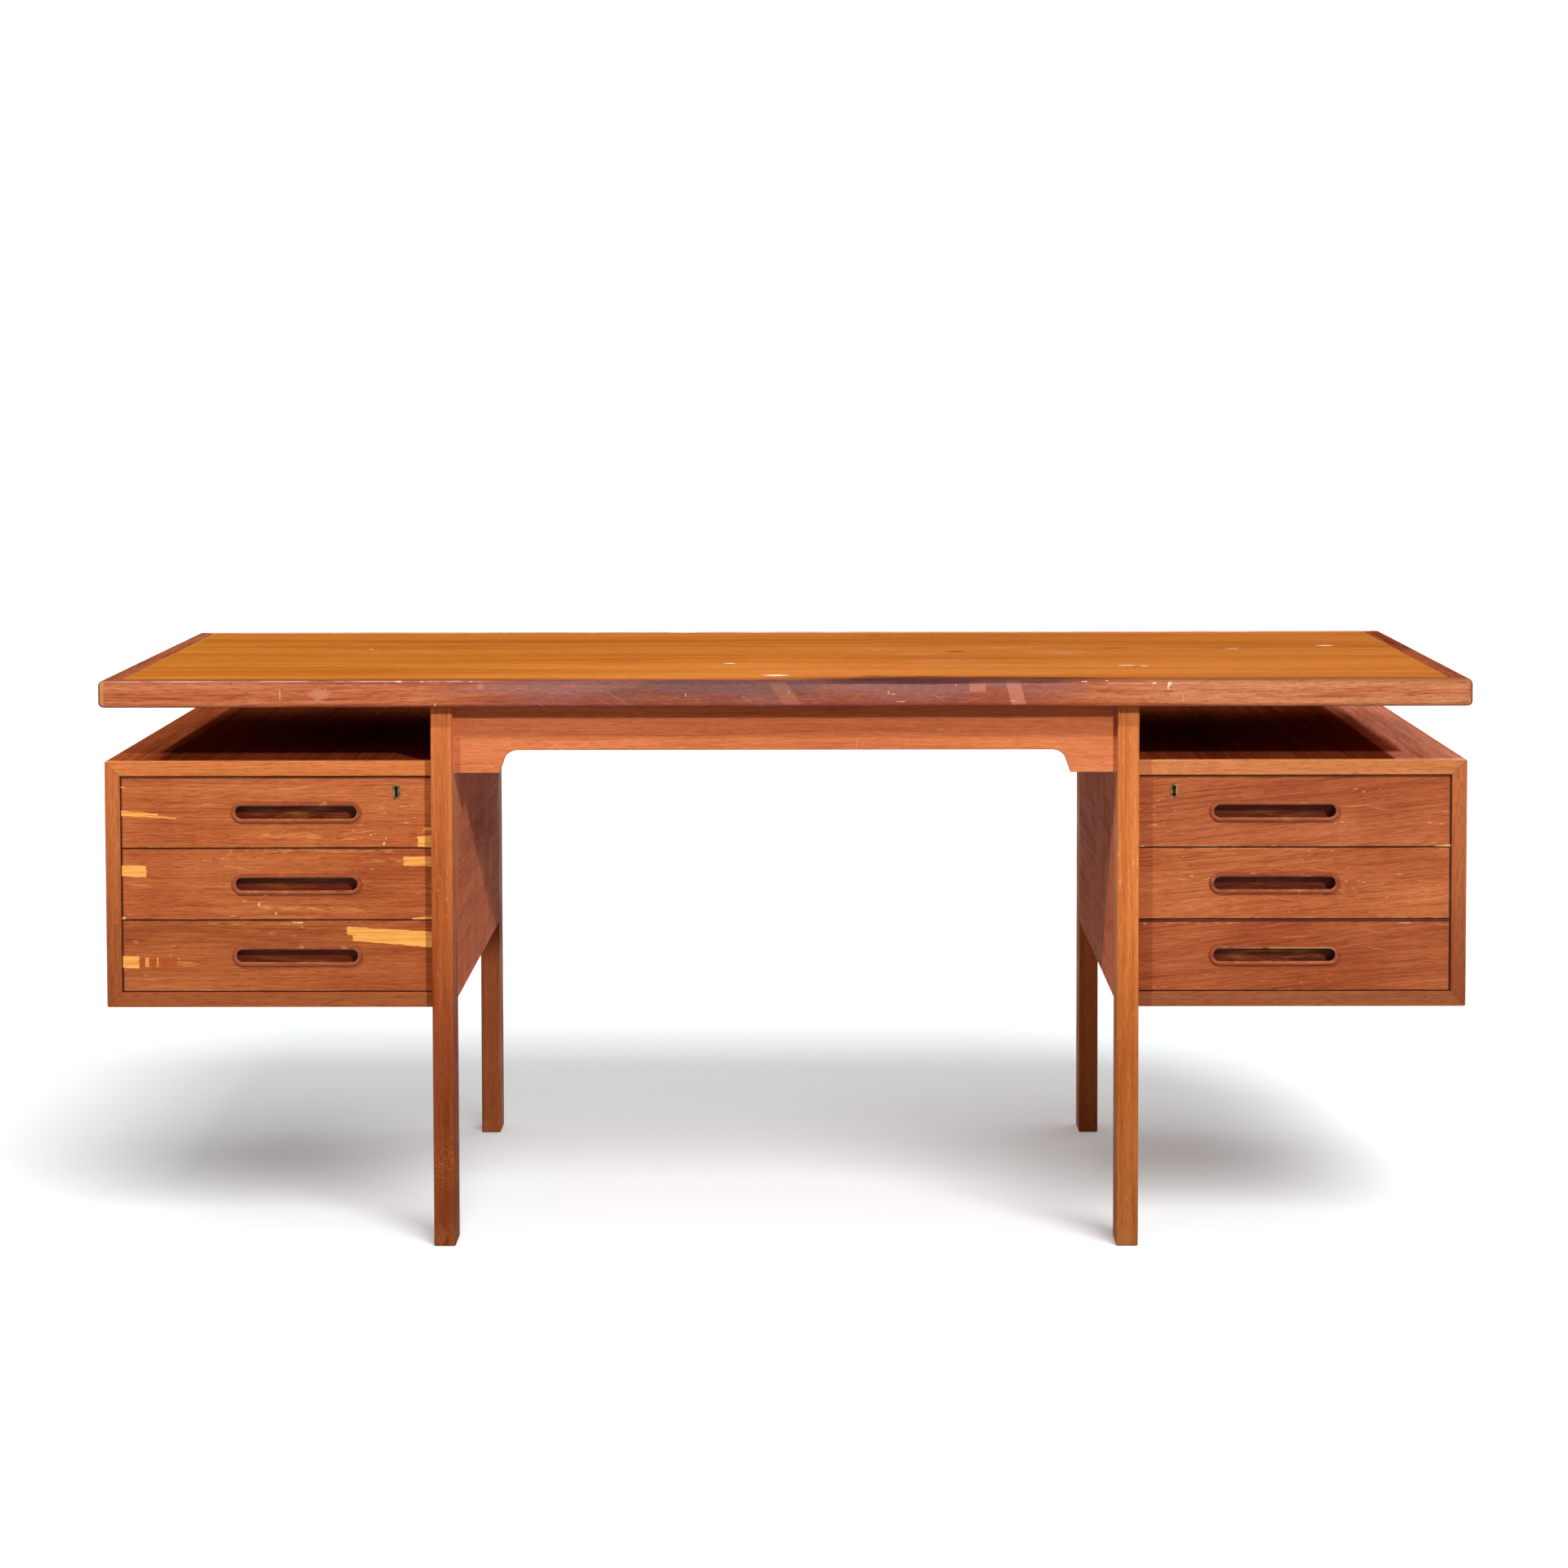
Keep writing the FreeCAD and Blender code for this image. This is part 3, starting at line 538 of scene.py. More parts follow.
# Marks on the front lipping, as (x, z, half width, half height): white chips, upright ticks and pale spots
lipping_chips = [
    (504, 749, 3.5, 2.6), (501, 745, 1.4, 3), (483, 750, 3, 1.3), (-504, 753, 5, 1.4), (-457, 723, 0.9, 3),
    (392, 752, 5, 0.6), (421, 753, 3, 0.6), (-410, 753, 3, 0.5), (-474, 753, 3, 0.5),
]
lipping_ticks = [
    (-660, 736, 0.9, 9), (521, 732, 0.9, 7), (300, 727, 6, 1), (-129, 735, 0.9, 2.4), (6, 738, 1.2, 1.6),
    (136, 738, 1.6, 2.4), (142, 736, 3, 1), (224, 748, 0.8, 2.6), (-53, 733, 0.9, 1.4), (152, 726, 8, 0.8),
]
lipping_pale = [(-522, 750, 5, 2.5), (-474, 745, 5.5, 3), (-397, 747, 5.5, 4.5), (-609, 737, 15, 9)]
# Tints along the lipping, from a metre left of the middle to a metre right of it
lipping_tints = [
    (0.0, 0.9, 0.86, 0.92), (0.5, 0.96, 0.96, 0.96), (0.68, 0.8, 0.66, 0.6),
    (0.78, 0.84, 0.74, 0.7), (0.86, 0.9, 0.98, 1.04),
]


def tape(g, left, right, low, high, lean=0.0):
    """1 on a strip of old tape. The lean shifts it along x for each metre up."""
    slid = g.minus(g.x, g.times(g.minus(g.z, low * mm), lean))
    frayed = g.plus(slid, g.wobble(g.join(g.x, g.z, 0.0), (150, 150, 1), 0.8 * mm))
    wide = g.band(frayed, left * mm, right * mm, 0.5 * mm)
    return g.times(wide, g.band(g.z, low * mm, high * mm, 0.5 * mm))


def rubbed_middle(g, colour, front, smeared):
    """The lipping rubbed to a speckled purple-grey, and soiled a little left of the middle."""
    ragged = g.plus(g.x, g.wobble(g.join(g.x, g.z, 4.0), (7, 60, 1), 90 * mm, detail=4.0))
    rubbed = g.times(g.band(ragged, -400 * mm, 350 * mm, 90 * mm), front)
    high = g.step(g.z, 724 * mm, 750 * mm)
    grey = g.ramp(g.plus(g.times(smeared, 0.7), g.times(high, 0.3)), rubbed_greys)
    threads = g.noise(g.join(g.x, g.z, 8.0), (30, 380, 1), detail=3.0, rough=0.7)
    cover = g.times(g.step(smeared, 0.3, 0.5, 0.6, 1.0), g.step(threads, 0.36, 0.56, 0.66, 0.96))
    colour = g.blend(g.times(rubbed, cover), colour, grey)
    mottled = g.noise(g.join(g.x, g.z, 5.0), (110, 420, 1), detail=3.0)
    colour = g.blend(rubbed, colour, g.shaded(colour, g.step(mottled, 0.34, 0.66, 0.88, 1.1)))
    soiled = g.times(front, g.step(g.z, 722 * mm, 744 * mm), g.band(ragged, -200 * mm, 60 * mm, 50 * mm))
    return g.blend(soiled, colour, g.tinted(colour, soiled_tint))


def lipping_marks(g, colour, front, smeared):
    """Marks of tape, pale spots, upright ticks and fine scratches on the lipping's face."""
    tapes = g.most(
        tape(g, 242, 263, 739, 752),
        tape(g, 297, 316, 722, 753, lean=-0.26),
        g.times(tape(g, -1, 22, 722, 752, lean=-0.66), 0.42),
    )
    colour = g.blend(g.times(tapes, front, 0.55), colour, tape_pale)
    pale = g.times(spots(g, g.x, g.z, lipping_pale, coarse=1.6), front)
    colour = g.blend(g.times(pale, g.step(smeared, 0.35, 0.65, 0.15, 0.42)), colour, spot_pale)
    tick = g.times(spots(g, g.x, g.z, lipping_ticks), front)
    colour = g.blend(g.times(tick, 0.6), colour, tick_pale)
    hair = scratches(g, g.x, g.z, [(24, 3.0, 0.7), (152, 7.0, 0.7), (84, 9.0, 0.4)])
    return g.blend(g.times(hair, front, 0.4), colour, scratch_pale)


def upper_arris(g, colour, front):
    """The lipping's upper arris: worn pale with a painted highlight in two stretches, and dirty and stained
    elsewhere.
    """
    left = g.times(g.step(g.z, 752.4 * mm, 753.2 * mm), g.band(g.x, -888 * mm, -400 * mm, 40 * mm))
    right = g.times(g.band(g.z, 748.6 * mm, 750.4 * mm, 0.6 * mm), g.band(g.x, 235 * mm, 540 * mm, 50 * mm))
    glint = g.noise(g.join(g.x, 0.0, 2.0), (16, 1, 1), detail=4.0, rough=0.7)
    worn = g.most(g.times(left, 0.8), g.times(right, 0.4))
    worn = g.times(worn, front, g.step(glint, 0.36, 0.58, 0.1, 1.0))
    # Painted highlight on the worn arris
    colour = g.blend(worn, colour, arris_worn_highlight)
    upper = g.step(g.z, 747.8 * mm, 750.6 * mm)
    colour = g.blend(g.times(upper, g.minus(1.0, worn)), colour, g.tinted(colour, arris_dirt))
    return g.blend(g.times(edge_stain(g), upper), colour, drink_on_lipping)


def front_lipping():
    """The sitter's edge: rubbed purple-grey in the middle, with scratches, chips and marks of tape."""
    g = Graph("top_lipping_front")
    colour, height = worn_wood(g, "top_lipping_front", lipping, along(g, "X"), 11.0, arris=0.35)
    colour = g.tint_ramp(colour, g.step(g.x, -1.0, 1.0), lipping_tints)
    front = g.fall(g.y, top_front + 4 * mm, top_front + 9 * mm)
    smeared = g.noise(g.join(g.x, g.z, 6.0), (9, 45, 1), detail=4.0, rough=0.65)
    colour = rubbed_middle(g, colour, front, smeared)
    colour = lipping_marks(g, colour, front, smeared)
    colour = upper_arris(g, colour, front)
    # Left end's corner, pale partly by wear and partly by painted highlight
    corner = g.times(g.fall(g.x, -894 * mm, -889 * mm), front)
    colour = g.blend(g.times(corner, 0.35), colour, corner_wear_highlight)
    chip = g.times(spots(g, g.x, g.z, lipping_chips), front)
    colour = g.blend(g.times(chip, 0.8), colour, chip_cream)
    height = g.minus(height, g.times(chip, 0.3 * mm))
    return oiled(g, colour, height, rough=0.55, shine=0.0)


def end_lipping(side, seed):
    """The lippings across the ends, redder, with pale arrises that are partly worn and partly painted
    highlight.
    """
    name = "top_lipping_" + side
    g = Graph(name)
    colour, height = worn_wood(g, name, lipping, along(g, "Y"), seed, arris=0.9, nicked=0.7)
    colour = g.tinted(colour, end_lipping_tint)
    low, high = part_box(name)
    outer = g.fall(from_outside(g, side, low, high), 1.5 * mm, 5 * mm)
    # Outer arris, pale partly by wear and partly by painted highlight
    arris = g.times(g.step(g.z, 746 * mm, 751 * mm), outer)
    broken = g.noise(g.join(0.0, g.y, g.z), (1, 26, 60), detail=4.0, rough=0.65)
    colour = g.blend(g.times(arris, g.step(broken, 0.40, 0.60, 0.12, 0.6)), colour, end_arris_highlight)
    return oiled(g, colour, height, rough=0.6, shine=0.0)


# Frame

# Tints of each leg, as (red, green, blue) at the foot, at a third, at two thirds and at the top
# Each leg is darker towards the foot partly by dirt and partly by painted shade where the light falls off
leg_tints_and_painted_light = {
    "leg_front_left": ((0.28, 0.22, 0.18), (0.39, 0.28, 0.32), (0.76, 0.68, 0.6), (0.98, 0.98, 1.0)),
    "leg_front_right": ((0.52, 0.56, 0.48), (0.69, 0.66, 0.48), (1.1, 1.18, 1.04), (0.98, 1.0, 0.97)),
    # Painted shade on the left back leg and painted light on the right back leg
    "leg_back_left": ((0.44, 0.39, 0.42), (0.47, 0.42, 0.44), (0.58, 0.54, 0.56), (0.64, 0.6, 0.56)),
    "leg_back_right": ((0.85, 0.82, 0.8), (0.9, 0.86, 0.84), (0.94, 0.9, 0.88), (0.96, 0.92, 0.9)),
}
# How strongly golden flecks show above the foot: strongly on one leg, and faintly on the others
leg_flecks = {"leg_front_left": 0.45}
faint_flecks = 0.12
# How shiny the legs at each end are
leg_shine = {"front": 0.01, "back": 0.04}
# Tints of the aprons, from the lower part to the upper: the darker upper part is painted shade where the desk
# top's shadow falls
apron_tints_and_shade = [(0.0, 0.97, 1.0, 1.02), (1.0, 0.87, 0.82, 0.88)]


def leg(name, seed, shine):
    """A leg, darker towards the foot by dirt and by painted shade where the light falls off, and scuffed by
    shoes and mops.
    """
    g = Graph(name)
    colour, height = worn_wood(g, name, leg_wood, along(g, "Z"), seed, arris=0.5, nicked=0.8)
    foot, low, high, top = leg_tints_and_painted_light[name]
    level = g.plus(g.times(g.z, 1 / leg_top), g.wobble(g.place, (20, 20, 5), 0.03))
    # Darker towards the foot, partly dirt and partly painted shade
    colour = g.tint_ramp(colour, level, [(0.0, *foot), (0.36, *low), (0.66, *high), (1.0, *top)])
    scuff = g.times(g.noise(g.place, (60, 60, 24), detail=4.0, rough=0.7), g.fall(g.z, 0.0, 140 * mm))
    colour = g.blend(g.times(g.step(scuff, 0.48, 0.62), 0.16), colour, foot_scuff)
    flecks = g.step(g.noise(g.place, (620, 620, 420), detail=2.0), 0.52, 0.62)
    flecks = g.times(flecks, g.band(level, 0.13, 0.19, 0.05))
    colour = g.blend(g.times(flecks, leg_flecks.get(name, faint_flecks)), colour, foot_fleck)
    return oiled(g, colour, height, shine=shine)


def apron_rail(name, seed):
    """An apron: salmon-brown, with painted shade on its upper part and fine pale scratches along its lower
    edge.
    """
    g = Graph(name)
    colour, height = worn_wood(g, name, apron, along(g, "X"), seed, arris=0.5)
    runs = [(28, seed, 0.8), (148, seed + 2, 0.7), (88, seed + 4, 0.3), (61, seed + 6, 0.8)]
    hair = scratches(g, g.x, g.z, runs)
    # Upper part darker by painted shade where the desk top's shadow falls
    colour = g.tint_ramp(colour, g.step(g.z, 674 * mm, 684 * mm), apron_tints_and_shade)
    lower = g.step(g.z, 660 * mm, 715 * mm, 1.0, 0.35)
    colour = g.blend(g.times(hair, lower, 0.5), colour, apron_scratch)
    return oiled(g, colour, height)


def inner_panel(side, seed):
    """The side panel between the legs, with the grain front to back and a faint figure across it."""
    name = "inner_panel_" + side
    g = Graph(name)
    colour, height = worn_wood(g, name, panel, along(g, "Y"), seed, arris=0.3)
    figure = g.noise(g.join(g.y, g.z, seed), (22, 2, 1), detail=3.0)
    colour = g.shaded(colour, g.step(figure, 0.35, 0.65, 0.92, 1.08))
    return oiled(g, colour, height, rough=0.7, shine=0.02)


# Pedestals

# Tints of the edging from the bottom of a pedestal to its top, partly the wood and partly painted shade where
# the light falls off towards the floor
edging_tints_and_falloff = [(0.0, 0.5, 0.42, 0.48), (0.5, 0.74, 0.68, 0.8), (0.93, 0.86, 0.82, 0.9)]
# Painted shade and light on the pedestals' upper faces: how far out the desk top's shadow is painted, the
# painted shade's tint, and the painted light's tint on the strip beyond
case_painted_light = {
    "left": (829, (0.6, 0.5, 0.5), (1.14, 1.06, 1.06)),
    "right": (807, (0.66, 0.54, 0.56), (2.45, 3.7, 7.4)),
}


def case_edging(side, seed):
    """Solid edging, with the grain along each length, so that it turns at the mitres."""
    name = "case_edging_" + side
    g = Graph(name)
    low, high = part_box(name)
    from_side = from_outside(g, side, low, high)
    from_end = g.least(g.minus(g.z, low[2]), g.minus(high[2], g.z))
    past_mitre = g.minus(from_end, from_side)
    stile = g.step(past_mitre, -0.1 * mm, 0.1 * mm)
    axes = (g.between(stile, g.x, g.z), g.y, g.between(stile, g.z, g.x))
    colour, height = worn_wood(g, name, edging, axes, seed, arris=0.6, nicked=0.7)
    # Darker towards the floor, partly the wood and partly painted shade
    colour = g.tint_ramp(colour, g.step(g.z, low[2], high[2]), edging_tints_and_falloff)
    upper_rail = g.times(g.step(g.z, high[2] - 22 * mm, high[2] - 20 * mm), g.minus(1.0, stile))
    colour = g.blend(upper_rail, colour, g.tinted(colour, rail_bright))
    if side == "right":
        colour = g.tinted(colour, g.blend(stile, right_rail_tint, right_stile_tint))
    joint = g.fall(g.math("ABSOLUTE", past_mitre), 0.2 * mm, 0.6 * mm)
    colour = g.blend(g.times(joint, 0.6), colour, grime_and_gap_shade)
    return oiled(g, colour, height)


def case_board(name, seed):
    """A pedestal board, with painted shade on its upper face under the desk top and painted light on the
    strip that stands out beyond it.
    """
    g = Graph(name)
    colour, height = worn_wood(g, name, veneer, along(g, "Y"), seed)
    stripes = g.noise(g.place, (210, 4, 1), detail=2.0)
    colour = g.blend(g.times(g.step(stripes, 0.48, 0.62), 0.22), colour, grime_and_gap_shade)
    # Painted shade where the desk top shades the upper face, and painted light on the strip beyond
    outer = g.plus(g.math("ABSOLUTE", g.x), g.wobble(g.place, (30, 30, 30), 1.5 * mm))
    shaded_to, shade, painted_light_tint = case_painted_light["right" if name.endswith("right") else "left"]
    paler_mask = g.step(outer, (shaded_to - 5) * mm, (shaded_to + 5) * mm)
    painted_shade_and_light = g.tint_ramp(colour, paler_mask, [(0.0, *shade), (1.0, *painted_light_tint)])
    colour = g.blend(upper_face(g, case_height), colour, painted_shade_and_light)
    return oiled(g, colour, height, rough=0.7, shine=0.0)


# Veneer torn off the drawer fronts, as (start, end, width at start, width at end) with points (x, z)
veneer_tears = {
    "left_top": [
        ((-885, 611), (-874, 609), 3, 1.5), ((-885, 553), (-880, 553), 6, 4),
        ((-885, 577), (-830, 573), 3.6, 2.4), ((-885, 574), (-806, 568), 4.5, 1.5),
        ((-486, 537), (-460, 537), 14, 17), ((-479, 553), (-460, 553), 4, 4),
    ],
    "left_middle": [
        ((-885, 498), (-846, 497), 14, 16), ((-505, 511), (-460, 510), 12, 14),
        ((-494, 434), (-460, 434), 3, 5),
    ],
    "left_bottom": [
        ((-581, 418), (-460, 410), 11, 12), ((-573, 408), (-460, 401), 7, 13),
        ((-885, 377), (-857, 376), 15, 17),
    ],
    "right_top": [((858, 529), (885, 530), 1, 4)],
    "right_middle": [],
    "right_bottom": [],
}
# Veneer worn thin, in the same form
faded_tears = {
    "left_top": [((-689, 546), (-617, 544), 5, 9), ((-600, 540), (-560, 541), 4, 6)],
    "left_middle": [
        ((-690, 449), (-560, 446), 5, 5), ((-560, 511), (-505, 511), 3, 6), ((-700, 523), (-520, 524), 3, 4),
    ],
    "left_bottom": [
        ((-807, 374), (-776, 373), 9, 3), ((-806, 338), (-764, 336), 4, 5), ((-760, 426), (-640, 426), 3, 3),
    ],
    "right_top": [((470, 557), (500, 558), 3, 2)],
    "right_middle": [((480, 524), (640, 526), 1.4, 2)],
    "right_bottom": [((500, 427), (600, 427), 2, 2)],
}
# Small chips down to pale wood, as (x, z, half width, half height)
drawer_chips = {
    "left_top": [(-531, 534, 2, 2.6), (-548, 545, 2, 1), (-528, 541, 1, 2)],
    "left_middle": [
        (-697, 453, 2, 3), (-675, 441, 1.5, 2.4), (-877, 435, 3, 2),
        (-852, 464, 1, 0.7), (-546, 500, 1.4, 0.7),
    ],
    "left_bottom": [(-645, 428.5, 8, 1.5), (-880, 341, 2, 1.5)],
    "right_top": [(472, 529, 3, 1.2), (500, 528, 6, 0.7), (575, 528, 8, 0.6), (873, 529.5, 6, 2)],
    "right_middle": [(472, 430, 4, 1.2)],
    "right_bottom": [(476, 426, 4, 0.8), (820, 427, 8, 0.6)],
}
# Tints of each front, partly the wood and partly painted shade that darkens the lowest fronts as the light
# falls off
drawer_tones_and_falloff = {
    "left_top": (1.0, 1.0, 1.02), "left_middle": (0.94, 0.92, 0.94), "left_bottom": (0.84, 0.82, 0.82),
    "right_top": (0.95, 0.96, 1.08), "right_middle": (0.97, 1.0, 1.04), "right_bottom": (0.8, 0.75, 0.8),
}
# A patch of another veneer let in beside a tear, in the form that tears takes, and two pale gaps in it
inlay_place = [((-857, 376), (-806, 376), 13, 12)]
inlay_gaps = ((-849, -844), (-833.5, -831.5))

# Fronts with a wider painted shadow line along their upper edge, which lies a little back, with how much
# wider it is there, in millimetres
shadow_gaps = {"right_bottom": 2.3, "right_top": 1.5, "left_top": 1.5}
# How much wider the painted shadow line is beside the outer board
side_gap = 0.9 * mm
# How pale fingers have rubbed the hollows of the pulls
pull_rubbed = {"right_bottom": 1.0, "left_top": 0.8}
little_rubbed = 0.35
# Width of a pull's raised lip
lip_width = 5.5 * mm


def mended_patch(g, colour, face):
    """The patch of redder veneer on the lowest left drawer."""
    inlay = g.times(tears(g, g.x, g.z, inlay_place, torn=1.0), face)
    colour = g.blend(g.times(inlay, 0.62), colour, inlay_red)
    gaps = g.most(*(g.band(g.x, left * mm, right * mm, 0.4 * mm) for left, right in inlay_gaps))
    return g.blend(g.times(inlay, gaps, 0.6), colour, bare_light)


def gap_shadow(g, name, low, high):
    """1 along the rim of a drawer front, where the shadow in the gap round it is painted on."""
    from_ends = g.least(g.minus(g.z, low[2]), g.minus(high[2], g.z))
    from_sides = (g.minus(g.x, low[0]), g.minus(high[0], g.x))
    from_leg, from_board = reversed(from_sides) if name.startswith("left") else from_sides
    past_board = g.most(g.minus(from_board, side_gap), 0.0)
    below_gap = g.most(g.minus(high[2] - shadow_gaps.get(name, 0.0) * mm, g.z), 0.0)
    from_rim = g.least(from_leg, past_board, from_ends, below_gap)
    return g.fall(g.plus(from_rim, g.wobble(g.place, (30, 30, 90), 0.3 * mm)), 0.4 * mm, 1.6 * mm)


def drawer_front(name, seed):
    """A veneered front, with the grain along the desk and veneer torn off the left ones."""
    g = Graph("drawer_front_" + name)
    on_left = name.startswith("left")
    teak = drawer if on_left else drawer_right
    colour, height = worn_wood(g, "drawer_front_" + name, teak, along(g, "X"), seed, arris=0.85, nicked=0.9)
    low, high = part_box("drawer_front_" + name)
    red_zone = g.noise(g.join(g.plus(g.x, seed), g.z, 0.0), (5, 7, 1), detail=3.0)
    colour = g.blend(g.step(red_zone, 0.42, 0.62), colour, g.tinted(colour, reddish_tint))
    # Darker lowest fronts, partly painted shade
    colour = g.tinted(colour, (*drawer_tones_and_falloff[name], 1.0))
    face = g.fall(g.y, low[1] + 0.6 * mm, low[1] + 1.2 * mm)
    bare = bare_veneer(g, g.x, g.z)
    paler_mask = g.times(tears(g, g.x, g.z, faded_tears[name], torn=14, blur=1.6), face)
    broken = g.step(g.noise(g.join(g.x, g.z, 9.0), (60, 520, 1), detail=2.0), 0.46, 0.56)
    colour = g.blend(g.times(paler_mask, broken, 0.4), colour, bare)
    torn = g.times(tears(g, g.x, g.z, veneer_tears[name]), face)
    if name == "left_bottom":
        colour = mended_patch(g, colour, face)
    colour = g.blend(torn, colour, bare)
    chip = g.times(spots(g, g.x, g.z, drawer_chips[name]), face)
    colour = g.blend(g.times(chip, 0.72), colour, drawer_chip)
    runs = [(6, seed, 0.9), (172, seed + 1, 0.7)]
    if on_left:
        runs.append((62, seed + 2, 0.4))
    hair = scratches(g, g.x, g.z, runs)
    colour = g.blend(g.times(hair, face, 0.42), colour, drawer_scratch)
    # Painted shadow line along the gaps round the front
    rim = g.times(gap_shadow(g, name, low, high), face, g.minus(1.0, g.most(torn, chip)))
    colour = g.blend(g.times(rim, 0.85), colour, grime_and_gap_shade)
    height = g.minus(height, g.times(g.plus(torn, chip), 0.25 * mm))
    return oiled(g, colour, height)


def drawer_pull(name, seed):
    """A pull with a raised lip, dark in its hollow by dirt and painted shade, where fingers have rubbed it
    pale, and with a painted highlight on the lip's inner rim.
    """
    g = Graph("drawer_pull_" + name)
    low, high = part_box("drawer_pull_" + name)
    colour, height = wood(g, drawer, along(g, "X"), seed)
    colour = g.tinted(colour, pull_tint)
    # The hollow, darker partly by dirt and partly by painted shade
    deep = g.step(g.y, front_face + 1 * mm, front_face + 8 * mm)
    colour = g.blend(deep, colour, g.tinted(colour, hollow_dirt_and_shade))
    off_middle = g.math("ABSOLUTE", g.minus(g.x, (low[0] + high[0]) / 2))
    streaks = g.noise(g.join(g.plus(g.x, seed), g.z, 1.0), (16, 180, 1), detail=4.0, rough=0.7)
    rubbed = g.times(g.step(streaks, 0.46, 0.62), g.fall(off_middle, 30 * mm, 80 * mm), deep)
    colour = g.blend(g.times(rubbed, pull_rubbed.get(name, little_rubbed)), colour, hollow_rubbed)
    lip = g.fall(g.y, front_face - 2 * mm, front_face - 0.5 * mm)
    radius = (high[2] - low[2]) / 2
    beyond = g.most(g.minus(off_middle, (high[0] - low[0]) / 2 - radius), 0.0)
    off_level = g.minus(g.z, (low[2] + high[2]) / 2)
    from_axis = g.math("SQRT", g.plus(g.times(beyond, beyond), g.times(off_level, off_level)))
    past_hollow = g.minus(from_axis, radius - lip_width)
    worn = g.noise(g.place, (40, 40, 90), detail=4.0, rough=0.7)
    # Painted highlight round the inner rim of the lip
    lip_highlight_mask = g.times(g.fall(past_hollow, 0.4 * mm, 1.8 * mm), lip, g.step(worn, 0.40, 0.60, 0.05, 0.42))
    colour = g.blend(lip_highlight_mask, colour, lip_highlight)
    if name == "right_bottom":
        chafed = g.times(g.step(off_level, 5 * mm, 8 * mm), g.step(g.x, 580 * mm, 640 * mm))
        chafed = g.times(chafed, g.fall(past_hollow, 1.0 * mm, 3.0 * mm), g.step(worn, 0.36, 0.5))
        colour = g.blend(chafed, colour, lip_chafed)
    colour = g.blend(g.times(g.step(worn, 0.58, 0.70), lip, 0.4), colour, worn_pale)
    return oiled(g, colour, height, rough=0.42, shine=0.15)


def drawer_box(name, seed):
    """Pale drawer sides with the grain front to back. The back and the bottom have it along the desk."""
    g = Graph("drawer_box_" + name)
    low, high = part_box("drawer_box_" + name)
    # The grain turns where the back, the bottom and the sides meet inside the box
    back = g.step(g.y, high[1] - 12.6 * mm, high[1] - 12.2 * mm)
    bottom = g.fall(g.z, low[2] + 14.2 * mm, low[2] + 14.6 * mm)
    inside = g.band(g.x, low[0] + 13.3 * mm, high[0] - 13.3 * mm, 0.1 * mm)
    turned = g.times(inside, g.most(back, bottom))
    axes = (g.between(turned, g.y, g.x), g.between(turned, g.x, g.y), g.z)
    colour, height = worn_wood(g, "drawer_box_" + name, beech, axes, seed, arris=0.2, nicked=0.2)
    stained = g.noise(g.place, (6, 6, 6), detail=4.0, rough=0.6)
    colour = g.blend(g.times(g.step(stained, 0.5, 0.75), 0.4), colour, beech_stain)
    return oiled(g, colour, height, rough=0.65, shine=0.1)


# Metal

# The bare shade, the tarnish, how softly the two meet, and the roughness where it is bare
screw_steel = ((176, 172, 164), (104, 98, 90), 0.2, 0.35)
pin_brass = ((196, 156, 96), (128, 96, 56), 0.2, 0.35)
thimble_brass = ((146, 112, 72), (90, 66, 42), 0.15, 0.5)
lock_iron = ((70, 64, 58), (36, 30, 26), 0.2, 0.5)
bolt_steel = ((186, 184, 178), (130, 124, 114), 0.2, 0.3)
metal_shine = 0.5


def metal(name, shade, tarnish, spread, rough):
    """Old metal: bare where it is rubbed, tarnished elsewhere, with fine scratches."""
    g = Graph(name)
    blotchy = g.noise(g.place, (140, 140, 140), detail=4.0, rough=0.65)
    dull = g.step(blotchy, 0.5 - spread, 0.5 + spread)
    colour = g.blend(dull, paint(*shade), paint(*tarnish))
    fine = g.noise(g.place, (900, 120, 900), detail=2.0)
    roughness = g.between(dull, rough, rough + 0.25)
    return g.finish(colour, g.times(fine, 0.01 * mm), roughness, metal_shine, metal=1.0)


# Dressing. Boards have seeds of their own, so that no two show the same grain


def dress(name, material):
    """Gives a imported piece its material."""
    nodes[name].material_slots[0].material = material


def dress_top():
    dress("top_panel", top_veneer())
    dress("top_lipping_front", front_lipping())
    dress("top_lipping_back", plain_wood("top_lipping_back", lipping, "X", 12.0))
    for index, side in enumerate(sides):
        dress("top_lipping_" + side, end_lipping(side, 13.0 + index))
    dress("top_fixing_blocks", plain_wood("top_fixing_blocks", beech, "Y", 15.0))
    dress("top_screws", metal("top_screws", *screw_steel))


def dress_frame():
    for index, end in enumerate(leg_shine):
        dress("apron_" + end, apron_rail("apron_" + end, 17.0 + index))
        for offset, side in enumerate(sides):
            name = "leg_" + end + "_" + side
            dress(name, leg(name, 21.0 + 2.7 * index + 1.3 * offset, leg_shine[end]))
    for index, side in enumerate(sides):
        dress("side_rail_" + side, plain_wood("side_rail_" + side, veneer, "Y", 31.0 + index))
        dress("inner_panel_" + side, inner_panel(side, 33.0 + index))
    dress("shelf_pins", metal("shelf_pins", *pin_brass))
    for name in ("frame_dowels", "case_dowels"):
        dress(name, plain_wood(name, beech, "X", 35.0))


